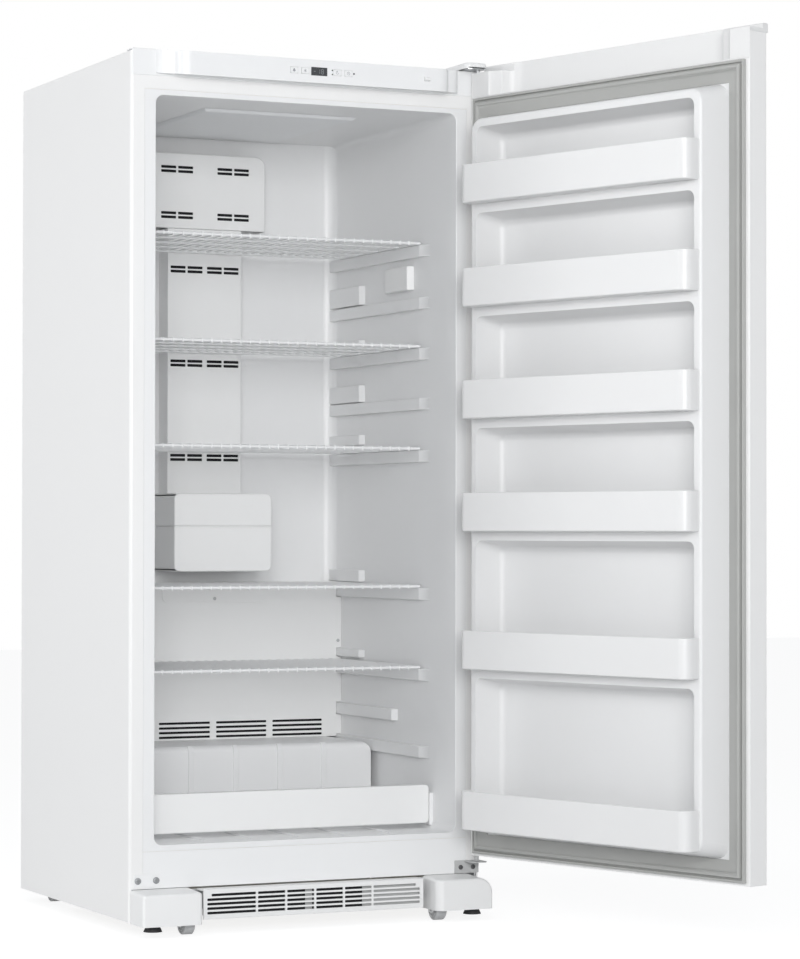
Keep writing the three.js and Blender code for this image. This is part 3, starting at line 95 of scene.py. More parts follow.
world = bpy.data.worlds.new("surround")
scene.world = world
world.use_nodes = True
tree = world.node_tree
tree.nodes.clear()
seen, lighting = tree.nodes.new("ShaderNodeBackground"), tree.nodes.new("ShaderNodeBackground")
seen.inputs["Color"].default_value = (1, 1, 1, 1)
seen.inputs["Strength"].default_value = 1.0
lighting.inputs["Color"].default_value = (0.93, 0.96, 1, 1)
lighting.inputs["Strength"].default_value = 0.4
either_sky, world_out = tree.nodes.new("ShaderNodeMixShader"), tree.nodes.new("ShaderNodeOutputWorld")
tree.links.new(seen_directly(tree), either_sky.inputs[0])
tree.links.new(lighting.outputs[0], either_sky.inputs[1])
tree.links.new(seen.outputs[0], either_sky.inputs[2])
tree.links.new(either_sky.outputs[0], world_out.inputs["Surface"])

floor_size = 14
floor_bm = bmesh.new()
bmesh.ops.create_grid(floor_bm, x_segments=1, y_segments=1, size=floor_size)
floor_mesh = bpy.data.meshes.new("studio_floor")
floor_bm.to_mesh(floor_mesh)
floor_bm.free()
floor = bpy.data.objects.new("studio_floor", floor_mesh)
scene.collection.objects.link(floor)
floor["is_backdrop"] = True
floor_paint = bpy.data.materials.new("studio_floor")
floor_paint.use_nodes = True
tree = floor_paint.node_tree
tree.nodes.clear()
matt, glow = tree.nodes.new("ShaderNodeBsdfDiffuse"), tree.nodes.new("ShaderNodeEmission")
shown_matt, both = tree.nodes.new("ShaderNodeBsdfDiffuse"), tree.nodes.new("ShaderNodeAddShader")
matt.inputs["Color"].default_value = (0.8, 0.8, 0.8, 1)
shown_matt.inputs["Color"].default_value = (0.3, 0.3, 0.3, 1)
glow.inputs["Strength"].default_value = 0.84
pick, floor_out = tree.nodes.new("ShaderNodeMixShader"), tree.nodes.new("ShaderNodeOutputMaterial")
tree.links.new(shown_matt.outputs[0], both.inputs[0])
tree.links.new(glow.outputs[0], both.inputs[1])
tree.links.new(seen_directly(tree), pick.inputs[0])
tree.links.new(matt.outputs[0], pick.inputs[1])
tree.links.new(both.outputs[0], pick.inputs[2])
tree.links.new(pick.outputs[0], floor_out.inputs["Surface"])
floor.data.materials.append(floor_paint)

# name, place, aim, width and height of the lamp in metres, watts
lamps = [
    ("key_lamp", (-2.2, -6.0, 1.7), (-0.1, 0.2, 0.9), 2.6, 2.0, 176),
    ("front_lamp", (-3.4, -5.2, 2.6), (0, 0.1, 0.9), 3.0, 2.4, 34),
    ("left_lamp", (-4.2, 0.8, 1.8), (0, 0.2, 0.9), 2.4, 2.4, 46),
    ("top_lamp", (-0.4, -0.6, 4.2), (-0.1, 0.1, 1.0), 2.6, 2.6, 8),
]
for name, place, aim, width, height, watts in lamps:
    lamp = bpy.data.lights.new(name, "AREA")
    lamp.shape = "RECTANGLE"
    lamp.size, lamp.size_y, lamp.energy = width, height, watts
    lamp_holder = bpy.data.objects.new(name, lamp)
    lamp_holder.location = place
    lamp_holder.rotation_euler = (Vector(aim) - Vector(place)).to_track_quat("-Z", "Y").to_euler()
    scene.collection.objects.link(lamp_holder)

# ---------------------------------------------------------------- cabinet shell
# One sheet of prepainted steel folded over the sides and top, with a fine leather grain rolled into
# the paint. The smooth lower panel and the left leg's bracket are painted in the same white.
MM = 0.001
shell_low, shell_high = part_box("cabinet_wrapper")
datum = Vector(((shell_low.x + shell_high.x) / 2, shell_low.y, shell_low.z))
cabinet_place = Matrix.Translation(datum) @ Matrix.Scale(MM, 4)


def coat(name, colour, roughness, grain=0.0, grain_size=1.0, mottle=0.02, mottle_size=400.0,
         metal=0.0, stretch=(1, 1, 1), gloss=0.5, cells=False, sheen_spread=0.015):
    """Finish with a grain, a faint mottle of tone and an uneven gloss; sizes in millimetres."""
    made = bpy.data.materials.new(name)
    made.use_nodes = True
    tree = made.node_tree
    shader = tree.nodes["Principled BSDF"]
    shader.inputs["Metallic"].default_value = metal
    shader.inputs["Specular IOR Level"].default_value = gloss
    where = tree.nodes.new("ShaderNodeTexCoord")
    turn = tree.nodes.new("ShaderNodeMapping")
    turn.inputs["Scale"].default_value = stretch
    tree.links.new(where.outputs["Object"], turn.inputs["Vector"])
    cloud = tree.nodes.new("ShaderNodeTexNoise")
    cloud.inputs["Scale"].default_value = 1000 / mottle_size
    cloud.inputs["Detail"].default_value = 1
    tree.links.new(turn.outputs["Vector"], cloud.inputs["Vector"])
    tone = tree.nodes.new("ShaderNodeMix")
    tone.data_type = "RGBA"
    tone.inputs["A"].default_value = (*(c * (1 - mottle) for c in colour), 1)
    tone.inputs["B"].default_value = (*(min(1, c * (1 + mottle)) for c in colour), 1)
    tree.links.new(cloud.outputs["Fac"], tone.inputs["Factor"])
    tree.links.new(tone.outputs["Result"], shader.inputs["Base Color"])
    uneven = tree.nodes.new("ShaderNodeMapRange")
    uneven.inputs["From Min"].default_value = 0.2
    uneven.inputs["From Max"].default_value = 0.8
    uneven.inputs["To Min"].default_value = max(0.02, roughness - sheen_spread)
    uneven.inputs["To Max"].default_value = min(1, roughness + sheen_spread)
    tree.links.new(cloud.outputs["Fac"], uneven.inputs["Value"])
    tree.links.new(uneven.outputs["Result"], shader.inputs["Roughness"])
    if grain:
        if cells:
            pattern = tree.nodes.new("ShaderNodeTexVoronoi")
            height = pattern.outputs["Distance"]
        else:
            pattern = tree.nodes.new("ShaderNodeTexNoise")
            pattern.inputs["Detail"].default_value = 2
            height = pattern.outputs["Fac"]
        pattern.inputs["Scale"].default_value = 1000 / grain_size
        tree.links.new(turn.outputs["Vector"], pattern.inputs["Vector"])
        bump = tree.nodes.new("ShaderNodeBump")
        bump.inputs["Strength"].default_value = grain
        bump.inputs["Distance"].default_value = grain_size * MM * 0.4
        tree.links.new(height, bump.inputs["Height"])
        tree.links.new(bump.outputs["Normal"], shader.inputs["Normal"])
    return made


def dress(node, material):
    """Gives a CAD node its finish."""
    mesh = nodes[node].data
    mesh.materials.clear()
    mesh.materials.append(material)


grained_paint = coat("grained_white_paint", (0.885, 0.883, 0.878), 0.36, grain=0.22, grain_size=1.6, mottle=0.008)
smooth_paint = coat("smooth_white_paint", (0.87, 0.875, 0.88), 0.3, grain=0.05, grain_size=4, mottle=0.008)
dress("cabinet_wrapper", grained_paint)
dress("lower_front_panel", smooth_paint)
dress("leg_bracket", smooth_paint)

# ---------------------------------------------------------------- cabinet and door insulation
# Rigid polyurethane foamed in place between steel and liner: cream, with fine closed cells.
cream_foam = coat("cream_foam", (0.78, 0.7, 0.48), 0.9, grain=0.5, grain_size=1.8, mottle=0.08, mottle_size=60,
                  gloss=0.2, cells=True)
dress("foam_insulation", cream_foam)
dress("door_insulation", cream_foam)

# ---------------------------------------------------------------- back of the cabinet
# Zinc plated sheet with two pressed beads, screwed on along its edges, and a louvred cover over the
# machine compartment below it.
spangle = coat("zinc_sheet", (0.6, 0.62, 0.63), 0.42, grain=0.06, grain_size=9, mottle=0.1, mottle_size=22,
               metal=0.85, cells=True, sheen_spread=0.1)
screw_steel = coat("screw_steel", (0.5, 0.51, 0.52), 0.32, grain=0.1, grain_size=0.7, mottle=0.06, mottle_size=5,
                   metal=0.95)


def brick(bm, x, y, z):
    """Adds a plain block with the given limits and gives back its corners."""
    low, high = Vector((x[0], y[0], z[0])), Vector((x[1], y[1], z[1]))
    place = Matrix.Translation((low + high) / 2) @ Matrix.Diagonal((*(high - low), 1))
    return bmesh.ops.create_cube(bm, size=1, matrix=place)["verts"]


def edges_of(verts):
    return list({edge for vert in verts for edge in vert.link_edges})


def running(edges, axis):
    """The edges that run along an axis."""
    return [e for e in edges if abs((e.verts[1].co - e.verts[0].co).normalized()[axis]) > 0.999]


def facing(bm, axis, value, slack=0.01):
    """The edges of a bmesh whose two ends lie at one value of an axis."""
    return [e for e in bm.edges if all(abs(v.co[axis] - value) < slack for v in e.verts)]


def roll(bm, edges, radius, segments=3):
    """Rounds edges over."""
    bmesh.ops.bevel(bm, geom=edges, offset=radius, offset_type="OFFSET", segments=segments, profile=0.5,
                    affect="EDGES", clamp_overlap=True, material=-1)


def rounded_brick(bm, x, y, z, radius, segments=3):
    """Adds a block with every edge rolled."""
    roll(bm, edges_of(brick(bm, x, y, z)), radius, segments)


def slab(bm, points, shift):
    """Adds the solid that a flat outline sweeps when it moves by shift."""
    face = bm.faces.new([bm.verts.new(point) for point in points])
    swept = bmesh.ops.extrude_face_region(bm, geom=[face])["geom"]
    moved = [item for item in swept if isinstance(item, bmesh.types.BMVert)]
    bmesh.ops.translate(bm, verts=moved, vec=shift)
    return list(face.verts) + moved


def barrel(bm, centre, radius, length, axis, sides=24, tip=None):
    """Adds a round bar or cone, centred, along an axis."""
    turn = {0: Matrix.Rotation(math.pi / 2, 4, "Y"), 1: Matrix.Rotation(-math.pi / 2, 4, "X"), 2: Matrix.Identity(4)}
    return bmesh.ops.create_cone(
        bm, cap_ends=True, segments=sides, radius1=radius, radius2=radius if tip is None else tip, depth=length,
        matrix=Matrix.Translation(centre) @ turn[axis],
    )["verts"]


def loose(bm):
    """A bare object holding a copy of a bmesh, for a cut."""
    bmesh.ops.recalc_face_normals(bm, faces=bm.faces)
    mesh = bpy.data.meshes.new("blank")
    bm.to_mesh(mesh)
    item = bpy.data.objects.new("blank", mesh)
    scene.collection.objects.link(item)
    return item


def carve(bm, tool, operation="DIFFERENCE", crossing=False):
    """Cuts tool out of bm, or joins it, and gives back the result as a new bmesh."""
    whole, part = loose(bm), loose(tool)
    step = whole.modifiers.new("step", "BOOLEAN")
    step.operation, step.object, step.solver, step.use_self = operation, part, "EXACT", crossing
    shaped = whole.evaluated_get(bpy.context.evaluated_depsgraph_get())
    result = bmesh.new()
    result.from_mesh(shaped.to_mesh())
    for item in (whole, part):
        bpy.data.objects.remove(item)
    bm.free()
    tool.free()
    return result


def piece(bm, name, material, body, place=cabinet_place, stands_for=(), flat=False, sharp=32):
    """Turns a bmesh in millimetres into a finished piece that rides on a body."""
    bmesh.ops.remove_doubles(bm, verts=bm.verts, dist=0.001)
    bmesh.ops.transform(bm, matrix=place, verts=bm.verts)
    bmesh.ops.recalc_face_normals(bm, faces=bm.faces)
    mesh = bpy.data.meshes.new(name)
    bm.to_mesh(mesh)
    bm.free()
    for face in mesh.polygons:
        face.use_smooth = not flat
    if not flat:
        mesh.set_sharp_from_angle(angle=math.radians(sharp))
    mesh.materials.append(material)
    made = bpy.data.objects.new(name, mesh)
    scene.collection.objects.link(made)
    if not flat:
        even = made.modifiers.new("even_shading", "WEIGHTED_NORMAL")
        even.keep_sharp = True
    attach(made, body)
    if stands_for:
        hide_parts(*stands_for)
    return made


def screws(name, spots, axis, outward, radius, body="cabinet", place=cabinet_place, material=screw_steel):
    """Pan-head screws with a crossed recess, each with its head on a spot of a face."""
    heads = bmesh.new()
    side, up = [i for i in range(3) if i != axis]
    height = radius * 0.55
    for spot in spots:
        centre = Vector(spot)
        centre[axis] += outward * height / 2
        head = barrel(heads, centre, radius, height, axis, 20)
        rim = [e for e in edges_of(head) if all((v.co[axis] - centre[axis]) * outward > 0 for v in e.verts)]
        roll(heads, rim, height * 0.6, 3)
    recess = bmesh.new()
    for spot in spots:
        for long_way, short_way in ((side, up), (up, side)):
            low, high = Vector(spot), Vector(spot)
            for way, half in ((long_way, radius * 0.55), (short_way, radius * 0.14)):
                low[way] -= half
                high[way] += half
            low[axis], high[axis] = sorted(spot[axis] + outward * height * share for share in (0.45, 1.5))
            brick(recess, *zip(low, high))
    heads = carve(heads, recess, crossing=True)
    return piece(heads, name, material, body, place)


sheet = bmesh.new()
back_low, back_high = 250.3, 1697.9
brick(sheet, (-378.9, 378.9), (652.5, 654), (back_low, back_high))
for bead_x in (-190, 190):
    bead = bmesh.new()
    shape = brick(bead, (bead_x - 15, bead_x + 15), (652.8, 657), (back_low + 120, back_high - 120))
    roll(bead, running(edges_of(shape), 1), 14, 4)
    roll(bead, facing(bead, 1, 657), 2.8, 3)
    sheet = carve(sheet, bead, "UNION")
piece(sheet, "back_sheet", spangle, "cabinet", stands_for=("back_panel",))
dress("service_cover", spangle)
louvres = bmesh.new()
for side_x in (-150, 150):
    for row in range(6):
        slot_top = 12 + 100 + 22 * row + 5
        arc = [(side_x - 127, 654.1 + 3.4 * math.sin(a), slot_top + 4 - 7 * (1 - math.cos(a)) * 0.5 - 0.5 * a)
               for a in [math.pi / 2 * k / 4 for k in range(5)]]
        inner = [(x, y - 0.7, z - 0.7) for x, y, z in reversed(arc[1:])]
        slab(louvres, arc + inner + [(side_x - 127, 654.1, slot_top + 3.2)], (254, 0, 0))
piece(louvres, "service_louvres", spangle, "cabinet", sharp=50)
edge_spots = [(x, 654, z) for z in (back_low + 14, back_high - 14) for x in (-350, -120, 120, 350)]
edge_spots += [(x, 654, z) for x in (-366, 366) for z in (500, 800, 1100, 1400)]
edge_spots += [(x, 654, z) for x in (-355, 0, 355) for z in (24, 236)]
screws("back_screws", edge_spots, 1, 1, 4.2)

# ---------------------------------------------------------------- compartment liner
# One vacuum-formed tub of white polystyrene. Its walls carry the ribs that the shelves rest on, its
# floor steps up over the machine compartment, and its rim folds out behind the steel flange.
liner_white = coat("liner_white", (0.85, 0.854, 0.858), 0.36, grain=0.03, grain_size=14, mottle=0.01,
                   mottle_size=250)
tub_half, tub_rear, tub_floor, tub_ceiling, liner_wall = 327, 612, 148, 1613, 2
step_half, step_front, step_top, step_nose = 313, 380, 310, 14
rib_face, rib_end = 316, 618


def tub(grow):
    """The compartment's space, grown by grow, with the step cut out of its rear floor."""
    space = bmesh.new()
    front, rear = (-1 if grow == 0 else 0), tub_rear + grow
    across = (-tub_half - grow, tub_half + grow)
    shape = brick(space, across, (front, rear), (tub_floor - grow, tub_ceiling + grow))
    roll(space, running(edges_of(shape), 1), 16 + grow, 5)
    plan = bmesh.new()
    shape = brick(plan, across, (front - 1, rear), (100, 1700))
    roll(plan, [e for e in running(edges_of(shape), 2) if e.verts[0].co.y > 100], 28 + grow, 6)
    space = carve(space, plan, "INTERSECT")
    step = bmesh.new()
    raised = brick(step, (-step_half + grow, step_half - grow), (step_front + grow, 700), (100, step_top - grow))
    roll(step, [e for e in running(edges_of(raised), 1) if e.verts[0].co.z > 200], 24 - grow, 5)
    nose = bmesh.new()
    shape = brick(nose, (-400, 400), (step_front + grow, 702), (98, step_top - grow))
    upper_front = [e for e in running(edges_of(shape), 0) if e.verts[0].co.z > 200 and e.verts[0].co.y < 600]
    roll(nose, upper_front, step_nose - grow, 5)
    step = carve(step, nose, "INTERSECT")
    return carve(space, step)


def wall_rib(bm, side, start, ramp, low, high):
    """A shelf rib along a side wall, with its slanted front end and rolled edges."""
    wall, face = side * (tub_half + liner_wall), side * rib_face
    points = [(wall, start, low), (wall, rib_end, low), (face, rib_end, low), (face, start + ramp, low)]
    bar = slab(bm, points, (0, 0, high - low))
    inner = [e for e in edges_of(bar) if all(abs(v.co.x - face) < 0.1 for v in e.verts)]
    front = [e for e in edges_of(bar) if any(v.co.y < start + 0.1 for v in e.verts)
             and any(abs(v.co.x - face) < 0.1 for v in e.verts)]
    roll(bm, list(set(inner + front)), 2.2, 3)


cavity = tub(0)
ribs = bmesh.new()
for side in (-1, 1):
    for rib_top in (1357, 1248, 1142, 1038, 929, 642, 474, 314):
        wall_rib(ribs, side, 116, 34, rib_top - 25, rib_top)
    for low, high in ((1251, 1293), (1155, 1175), (1040, 1077), (947, 969), (650, 676), (486, 503)):
        wall_rib(ribs, side, 441, 11, low, high)
    wall_rib(ribs, side, 273, 11, 359, 384)
cavity = carve(cavity, ribs, crossing=True)
floor_ribs = bmesh.new()
floor_rib_rise, floor_rib_half = 3, 6
nose_y, nose_z, crown_radius = step_front + step_nose, step_top - step_nose, step_nose + floor_rib_rise
crown = [(nose_y - crown_radius * math.cos(a), nose_z + crown_radius * math.sin(a))
         for a in [math.radians(12 * k) for k in range(6)]]
for index in range(-2, 3):
    outline = [(20, 146), (nose_y, 146), (nose_y, 300)] + crown[::-1] + [(377, 156), (372, 151), (48, 151)]
    strip = slab(floor_ribs, [(101 * index - floor_rib_half, y, z) for y, z in outline], (2 * floor_rib_half, 0, 0))
    roll(floor_ribs, [e for e in edges_of(strip) if abs(e.verts[0].co.x - e.verts[1].co.x) < 1
                      and all(v.co.z > 147 and (v.co.y < 380 or v.co.z > 301) for v in e.verts)], 2.2, 3)
cavity = carve(cavity, floor_ribs)
brackets = bmesh.new()
for side in (-1, 1):
    x = sorted((side * 319, side * 329))
    shape = brick(brackets, x, (104, 124), (154, 220))
    roll(brackets, [e for e in edges_of(shape) if all(abs(v.co.x - side * 319) < 0.1 for v in e.verts)], 2, 3)
cavity = carve(cavity, brackets)
skin = tub(liner_wall)
rim = bmesh.new()
brick(rim, (-350.7, 350.7), (0, 2), (136, 1623.7))
skin = carve(skin, rim, "UNION")
liner = carve(skin, cavity)
bmesh.ops.triangulate(liner, faces=[f for f in liner.faces if abs(f.normal.y) > 0.99 and f.verts[0].co.y < 3])
mouth = [e for e in facing(liner, 1, 0) if all(abs(v.co.x) < 328 and 140 < v.co.z < 1614 for v in e.verts)
         and min(abs(f.normal.y) for f in e.link_faces) < 0.5]
roll(liner, mouth, 1.6, 2)
piece(liner, "compartment_tub", liner_white, "cabinet", stands_for=("cabinet_liner",), sharp=25)

# ---------------------------------------------------------------- covers on the rear wall
# White moulded covers: over the evaporator with its return-air slots, over the fan in two parts, and
# up the wall to a wide head under the ceiling. Black sheets behind their slots are painted shade, so that the slots
# look dark.
cover_white = coat("cover_white", (0.875, 0.878, 0.876), 0.4, grain=0.06, grain_size=1.2, mottle=0.01,
                   mottle_size=180)
# Near-black finish for sheets that stand for the shade behind slots: painted shade, not the colour of a real part.
painted_shade_black = coat("painted_shade_black", (0.02, 0.02, 0.022), 0.85, grain=0.5, grain_size=2.2, mottle=0.2, mottle_size=9,
                  cells=True, gloss=0.2)


def vents(bm, x, height, front):
    """Cutters for one group of supply vents: two rows of two slots."""
    for column in (-19.5, 19.5):
        for row in (-4.5, 4.5):
            shape = brick(bm, (x + column - 17.5, x + column + 17.5), (front - 3, front + 3),
                          (height + row - 3, height + row + 3))
            roll(bm, running(edges_of(shape), 1), 1.4, 2)


def hollow_cover(x, y, z, corners, wall, edge=3):
    """A moulded cover open at the back; corners says which of its outline's corners are round."""
    def form(inset):
        bm = bmesh.new()
        shape = brick(bm, (x[0] + inset, x[1] - inset), (y[0] + inset, y[1] + (1 if inset else 0)),
                      (z[0] + inset * (corners == "none"), z[1] - inset * (corners == "top")))
        upright = running(edges_of(shape), 1)
        if corners == "top":
            roll(bm, [e for e in upright if e.verts[0].co.z > (z[0] + z[1]) / 2], 20 - inset, 5)
        if edge > inset:
            roll(bm, facing(bm, 1, y[0] + inset), edge - inset * 0.5, 3)
        return bm
    return carve(form(0), form(wall))


duct = hollow_cover((-85.5, 85.5), (560, 611.7), (840.3, 1410.7), "none", 2, 2.5)
slots = bmesh.new()
for height in (1323, 1121, 918):
    for x in (-42, 42):
        vents(slots, x, height, 560)
duct = carve(duct, slots)
piece(duct, "rear_duct", cover_white, "cabinet", stands_for=("air_duct",))
head = hollow_cover((-140, 140), (558, 611.7), (1411, 1573), "top", 2, 3)
slots = bmesh.new()
for height in (1538, 1439):
    for x in (-65, 65):
        vents(slots, x, height, 558)
head = carve(head, slots)
piece(head, "duct_crown", cover_white, "cabinet", stands_for=("duct_head",))
# Painted shade: thin black sheets just behind the supply vents and the evaporator's return-air slots stand for the
# shade inside the duct and over the coil.
vent_shade_sheets = bmesh.new()
brick(vent_shade_sheets, (-82.5, 82.5), (562.6, 566), (842, 1409))
brick(vent_shade_sheets, (-134, 134), (560.6, 564), (1414, 1567))
brick(vent_shade_sheets, (-240, 296), (568.6, 571), (313, 352))
piece(vent_shade_sheets, "vent_painted_shade", painted_shade_black, "cabinet", flat=True)

box_parts = []
for low, high in ((674, 769.2), (770.8, 840)):
    part = bmesh.new()
    shape = brick(part, (-111.5, 111.5), (450, 611.7), (low, high))
    outer_end = [e for e in running(edges_of(shape), 1) if (e.verts[0].co.z < 700) == (low < 700)
                 and not 765 < e.verts[0].co.z < 775]
    roll(part, outer_end, 12, 5)
    roll(part, [e for e in facing(part, 1, 450)], 3.5, 3)
    inner = bmesh.new()
    inner_low, inner_high = (low + 2.5, high + 1) if low < 700 else (low - 1, high - 2.5)
    brick(inner, (-109.5, 109.5), (452.5, 613), (inner_low, inner_high))
    box_parts.append(carve(part, inner))
fan_box = bmesh.new()
for part in box_parts:
    mesh = bpy.data.meshes.new("blank")
    part.to_mesh(mesh)
    part.free()
    fan_box.from_mesh(mesh)
brick(fan_box, (-109, 109), (453.5, 610), (766, 774))
piece(fan_box, "fan_box", cover_white, "cabinet", stands_for=("fan_cover",))

evaporator_front = bmesh.new()
brick(evaporator_front, (-326.7, 326.7), (566, 568), (310.3, 650))
roof = bmesh.new()
brick(roof, (-299, 299), (566, 611.7), (648, 650))
evaporator_front = carve(evaporator_front, roof, "UNION")
tab = bmesh.new()
shape = brick(tab, (-95, 152), (564, 567), (605, 649.9))
roll(tab, [e for e in running(edges_of(shape), 1) if e.verts[0].co.z < 620], 14, 5)
roll(tab, facing(tab, 1, 564), 1.2, 2)
evaporator_front = carve(evaporator_front, tab, "UNION")
slots = bmesh.new()
for column in range(4):
    x = -174 + 132 * column
    for row in range(4):
        z = 314 + 10 * row
        shape = brick(slots, (x - 59, x + 59), (562, 570), (z, z + 5))
        roll(slots, running(edges_of(shape), 1), 1.6, 2)
rib_room = bmesh.new()
for side in (-1, 1):
    for low, high in ((616, 643), (449, 475), (289, 315), (358, 385), (485, 504), (649, 677)):
        brick(rib_room, sorted((side * 315.4, side * 330)), (560, 620), (low, high))
evaporator_front = carve(carve(evaporator_front, slots), rib_room, crossing=True)
piece(evaporator_front, "evaporator_front", cover_white, "cabinet",
      stands_for=("evaporator_cover",))
screws("cover_screws", [(26, 564, 614), (319, 566, 520), (-319, 566, 520)], 1, -1, 3.6)

# ---------------------------------------------------------------- evaporator and fans
# Aluminium fins on the evaporator, small motors in plated housings and black moulded fan wheels.
fin_aluminium = coat("fin_aluminium", (0.72, 0.73, 0.74), 0.4, grain=0.15, grain_size=0.8, mottle=0.08,
                     mottle_size=12, metal=0.9, stretch=(1, 1, 6))
motor_plate = coat("motor_plate", (0.55, 0.56, 0.57), 0.4, grain=0.1, grain_size=1.5, mottle=0.06, mottle_size=14,
                   metal=0.9)
fan_black = coat("fan_black", (0.03, 0.031, 0.033), 0.45, grain=0.05, grain_size=1, mottle=0.1, mottle_size=20)
dress("evaporator_coil", fin_aluminium)
dress("evaporator_fan_motor", motor_plate)
dress("condenser_fan_motor", motor_plate)
dress("evaporator_fan", fan_black)
dress("condenser_fan", fan_black)

# ---------------------------------------------------------------- light and sensor covers
# A shallow frosted cover under the ceiling and a small snap-on sensor cover on the right wall.
frosted = coat("frosted_cover", (0.88, 0.89, 0.9), 0.5, grain=0.1, grain_size=1, mottle=0.01, mottle_size=90)
light = bmesh.new()
shape = brick(light, (-170, 170), (140, 550), (1606.7, 1612.7))
low_face = [v for v in shape if v.co.z < 1608]
bmesh.ops.scale(light, vec=(0.955, 0.96, 1), verts=low_face, space=Matrix.Translation((0, -345, 0)))
roll(light, [e for e in edges_of(shape) if not all(v.co.z > 1612 for v in e.verts)], 3, 3)
piece(light, "ceiling_light", frosted, "cabinet", stands_for=("light_cover",))
sensor_box = bmesh.new()
sensor_plan = [(326.7, 198, 1266), (326.7, 316, 1266), (311.7, 310, 1266), (311.7, 200, 1266)]
shape = slab(sensor_box, sensor_plan, (0, 0, 51))
roll(sensor_box, [e for e in edges_of(shape) if not all(v.co.x > 326 for v in e.verts)], 3, 3)
piece(sensor_box, "sensor_box", cover_white, "cabinet", stands_for=("sensor_cover",))

# ---------------------------------------------------------------- wire shelves
# Welded steel wire dipped in white vinyl: thin wires from front to back lie on thicker cross rods,
# bend down over the front rod and end on it. Each shelf slides on a pair of wall ribs.
vinyl_coat = coat("white_vinyl_coat", (0.86, 0.865, 0.87), 0.3, grain=0.12, grain_size=5, mottle=0.012,
                  mottle_size=30)
rod, wire, pitch = 6.0, 3.6, 21.0
front_y, back_y, half_shelf = 152, 556, 322
for number, rib_top in enumerate((1357, 1142, 929, 642, 474), start=1):
    base = rib_top + 0.3
    shelf = bmesh.new()
    inset = rod / 2
    for y in (front_y + inset, back_y - inset):
        barrel(shelf, (0, y, base + inset), inset, 2 * half_shelf - rod, 0, 10)
    for side in (-1, 1):
        barrel(shelf, (side * (half_shelf - inset), (front_y + back_y) / 2, base + inset), inset,
               back_y - front_y - rod, 1, 10)
        for y in (front_y + inset, back_y - inset):
            bmesh.ops.create_uvsphere(shelf, u_segments=10, v_segments=6, radius=inset,
                                      matrix=Matrix.Translation((side * (half_shelf - inset), y, base + inset)))
    for share in (0.25, 0.5, 0.75):
        y = front_y + (back_y - front_y) * share
        barrel(shelf, (0, y, base + 2.2), 2.2, 2 * half_shelf - rod, 0, 8)
    for index in range(-14, 15):
        x = index * pitch
        top = base + rod - wire / 2 + 1.4
        barrel(shelf, (x, (front_y + back_y) / 2 + 2, top), wire / 2, back_y - front_y - 6, 1, 8)
        barrel(shelf, (x, front_y + 0.6, top - 3.4), wire / 2, 7.4, 2, 8)
        bmesh.ops.create_uvsphere(shelf, u_segments=8, v_segments=6, radius=wire / 2 + 0.15,
                                  matrix=Matrix.Translation((x, front_y + 1, top)))
    piece(shelf, f"shelf_{number}_grid", vinyl_coat, f"shelf_{number}",
          stands_for=(f"wire_shelf_{number}",), sharp=60)

# ---------------------------------------------------------------- drop-down food gate
# A moulded white bar across the bottom of the compartment, hollow behind with stiffening ribs. Its
# two pins turn in brackets on the walls.
gate = bmesh.new()
shape = brick(gate, (-318, 318), (104, 124), (158, 237))
roll(gate, running(edges_of(shape), 1), 8, 5)
roll(gate, facing(gate, 1, 104), 2.6, 3)
inside = bmesh.new()
shape = brick(inside, (-315.5, 315.5), (106.5, 126), (160.5, 234.5))
roll(inside, running(edges_of(shape), 1), 5.5, 4)
gate = carve(gate, inside)
for x in (-210, -105, 0, 105, 210):
    brick(gate, (x - 1, x + 1), (105.5, 122), (159.5, 235.5))
for side in (-1, 1):
    barrel(gate, (side * 320.5, 114, 170), 3, 10, 0, 16)
piece(gate, "gate_bar", cover_white, "gate", stands_for=("food_gate",))

# ---------------------------------------------------------------- control header
# A moulded band over the top of the cabinet that swells forward between two S-shaped flanks. Its
# front holds a small dark display, four keys with printed signs, lamps and the door switch.
header_white = coat("header_white", (0.87, 0.875, 0.88), 0.3, grain=0.03, grain_size=2, mottle=0.006,
                    mottle_size=300)


def flank(clearance, steps=7):
    """Half of the header's plan, from the root of the bulge to its flat front, for x above zero."""
    root, flat = 328 + clearance * 0.75, 262 + clearance * 0.75
    front, middle = -(45 + clearance), (590 / 2 + clearance * 0.75)
    def curve(a, b, c, d):
        for k in range(steps):
            t = (k + 1) / steps
            yield tuple(a[i] * (1 - t) ** 3 + 3 * b[i] * t * (1 - t) ** 2 + 3 * c[i] * t ** 2 * (1 - t)
                        + d[i] * t ** 3 for i in (0, 1))
    rise = [(root, 1), (root, 0)]
    rise += curve((root, 0), (root, front / 2), (middle, front / 3), (middle, front / 2))
    rise += curve((middle, front / 2), (middle, front), (flat + 8, front), (flat, front))
    return rise


def bulge(bm, clearance, low, high, slope):
    """Adds the header's bulge between two heights; slope lowers its front edge."""
    half = flank(clearance)
    plan = half + [(-x, y) for x, y in reversed(half)]
    shape = slab(bm, [(x, y, low) for x, y in plan], (0, 0, high - low))
    for vert in shape:
        vert.co.z += slope * min(0, vert.co.y) / 45
    return shape


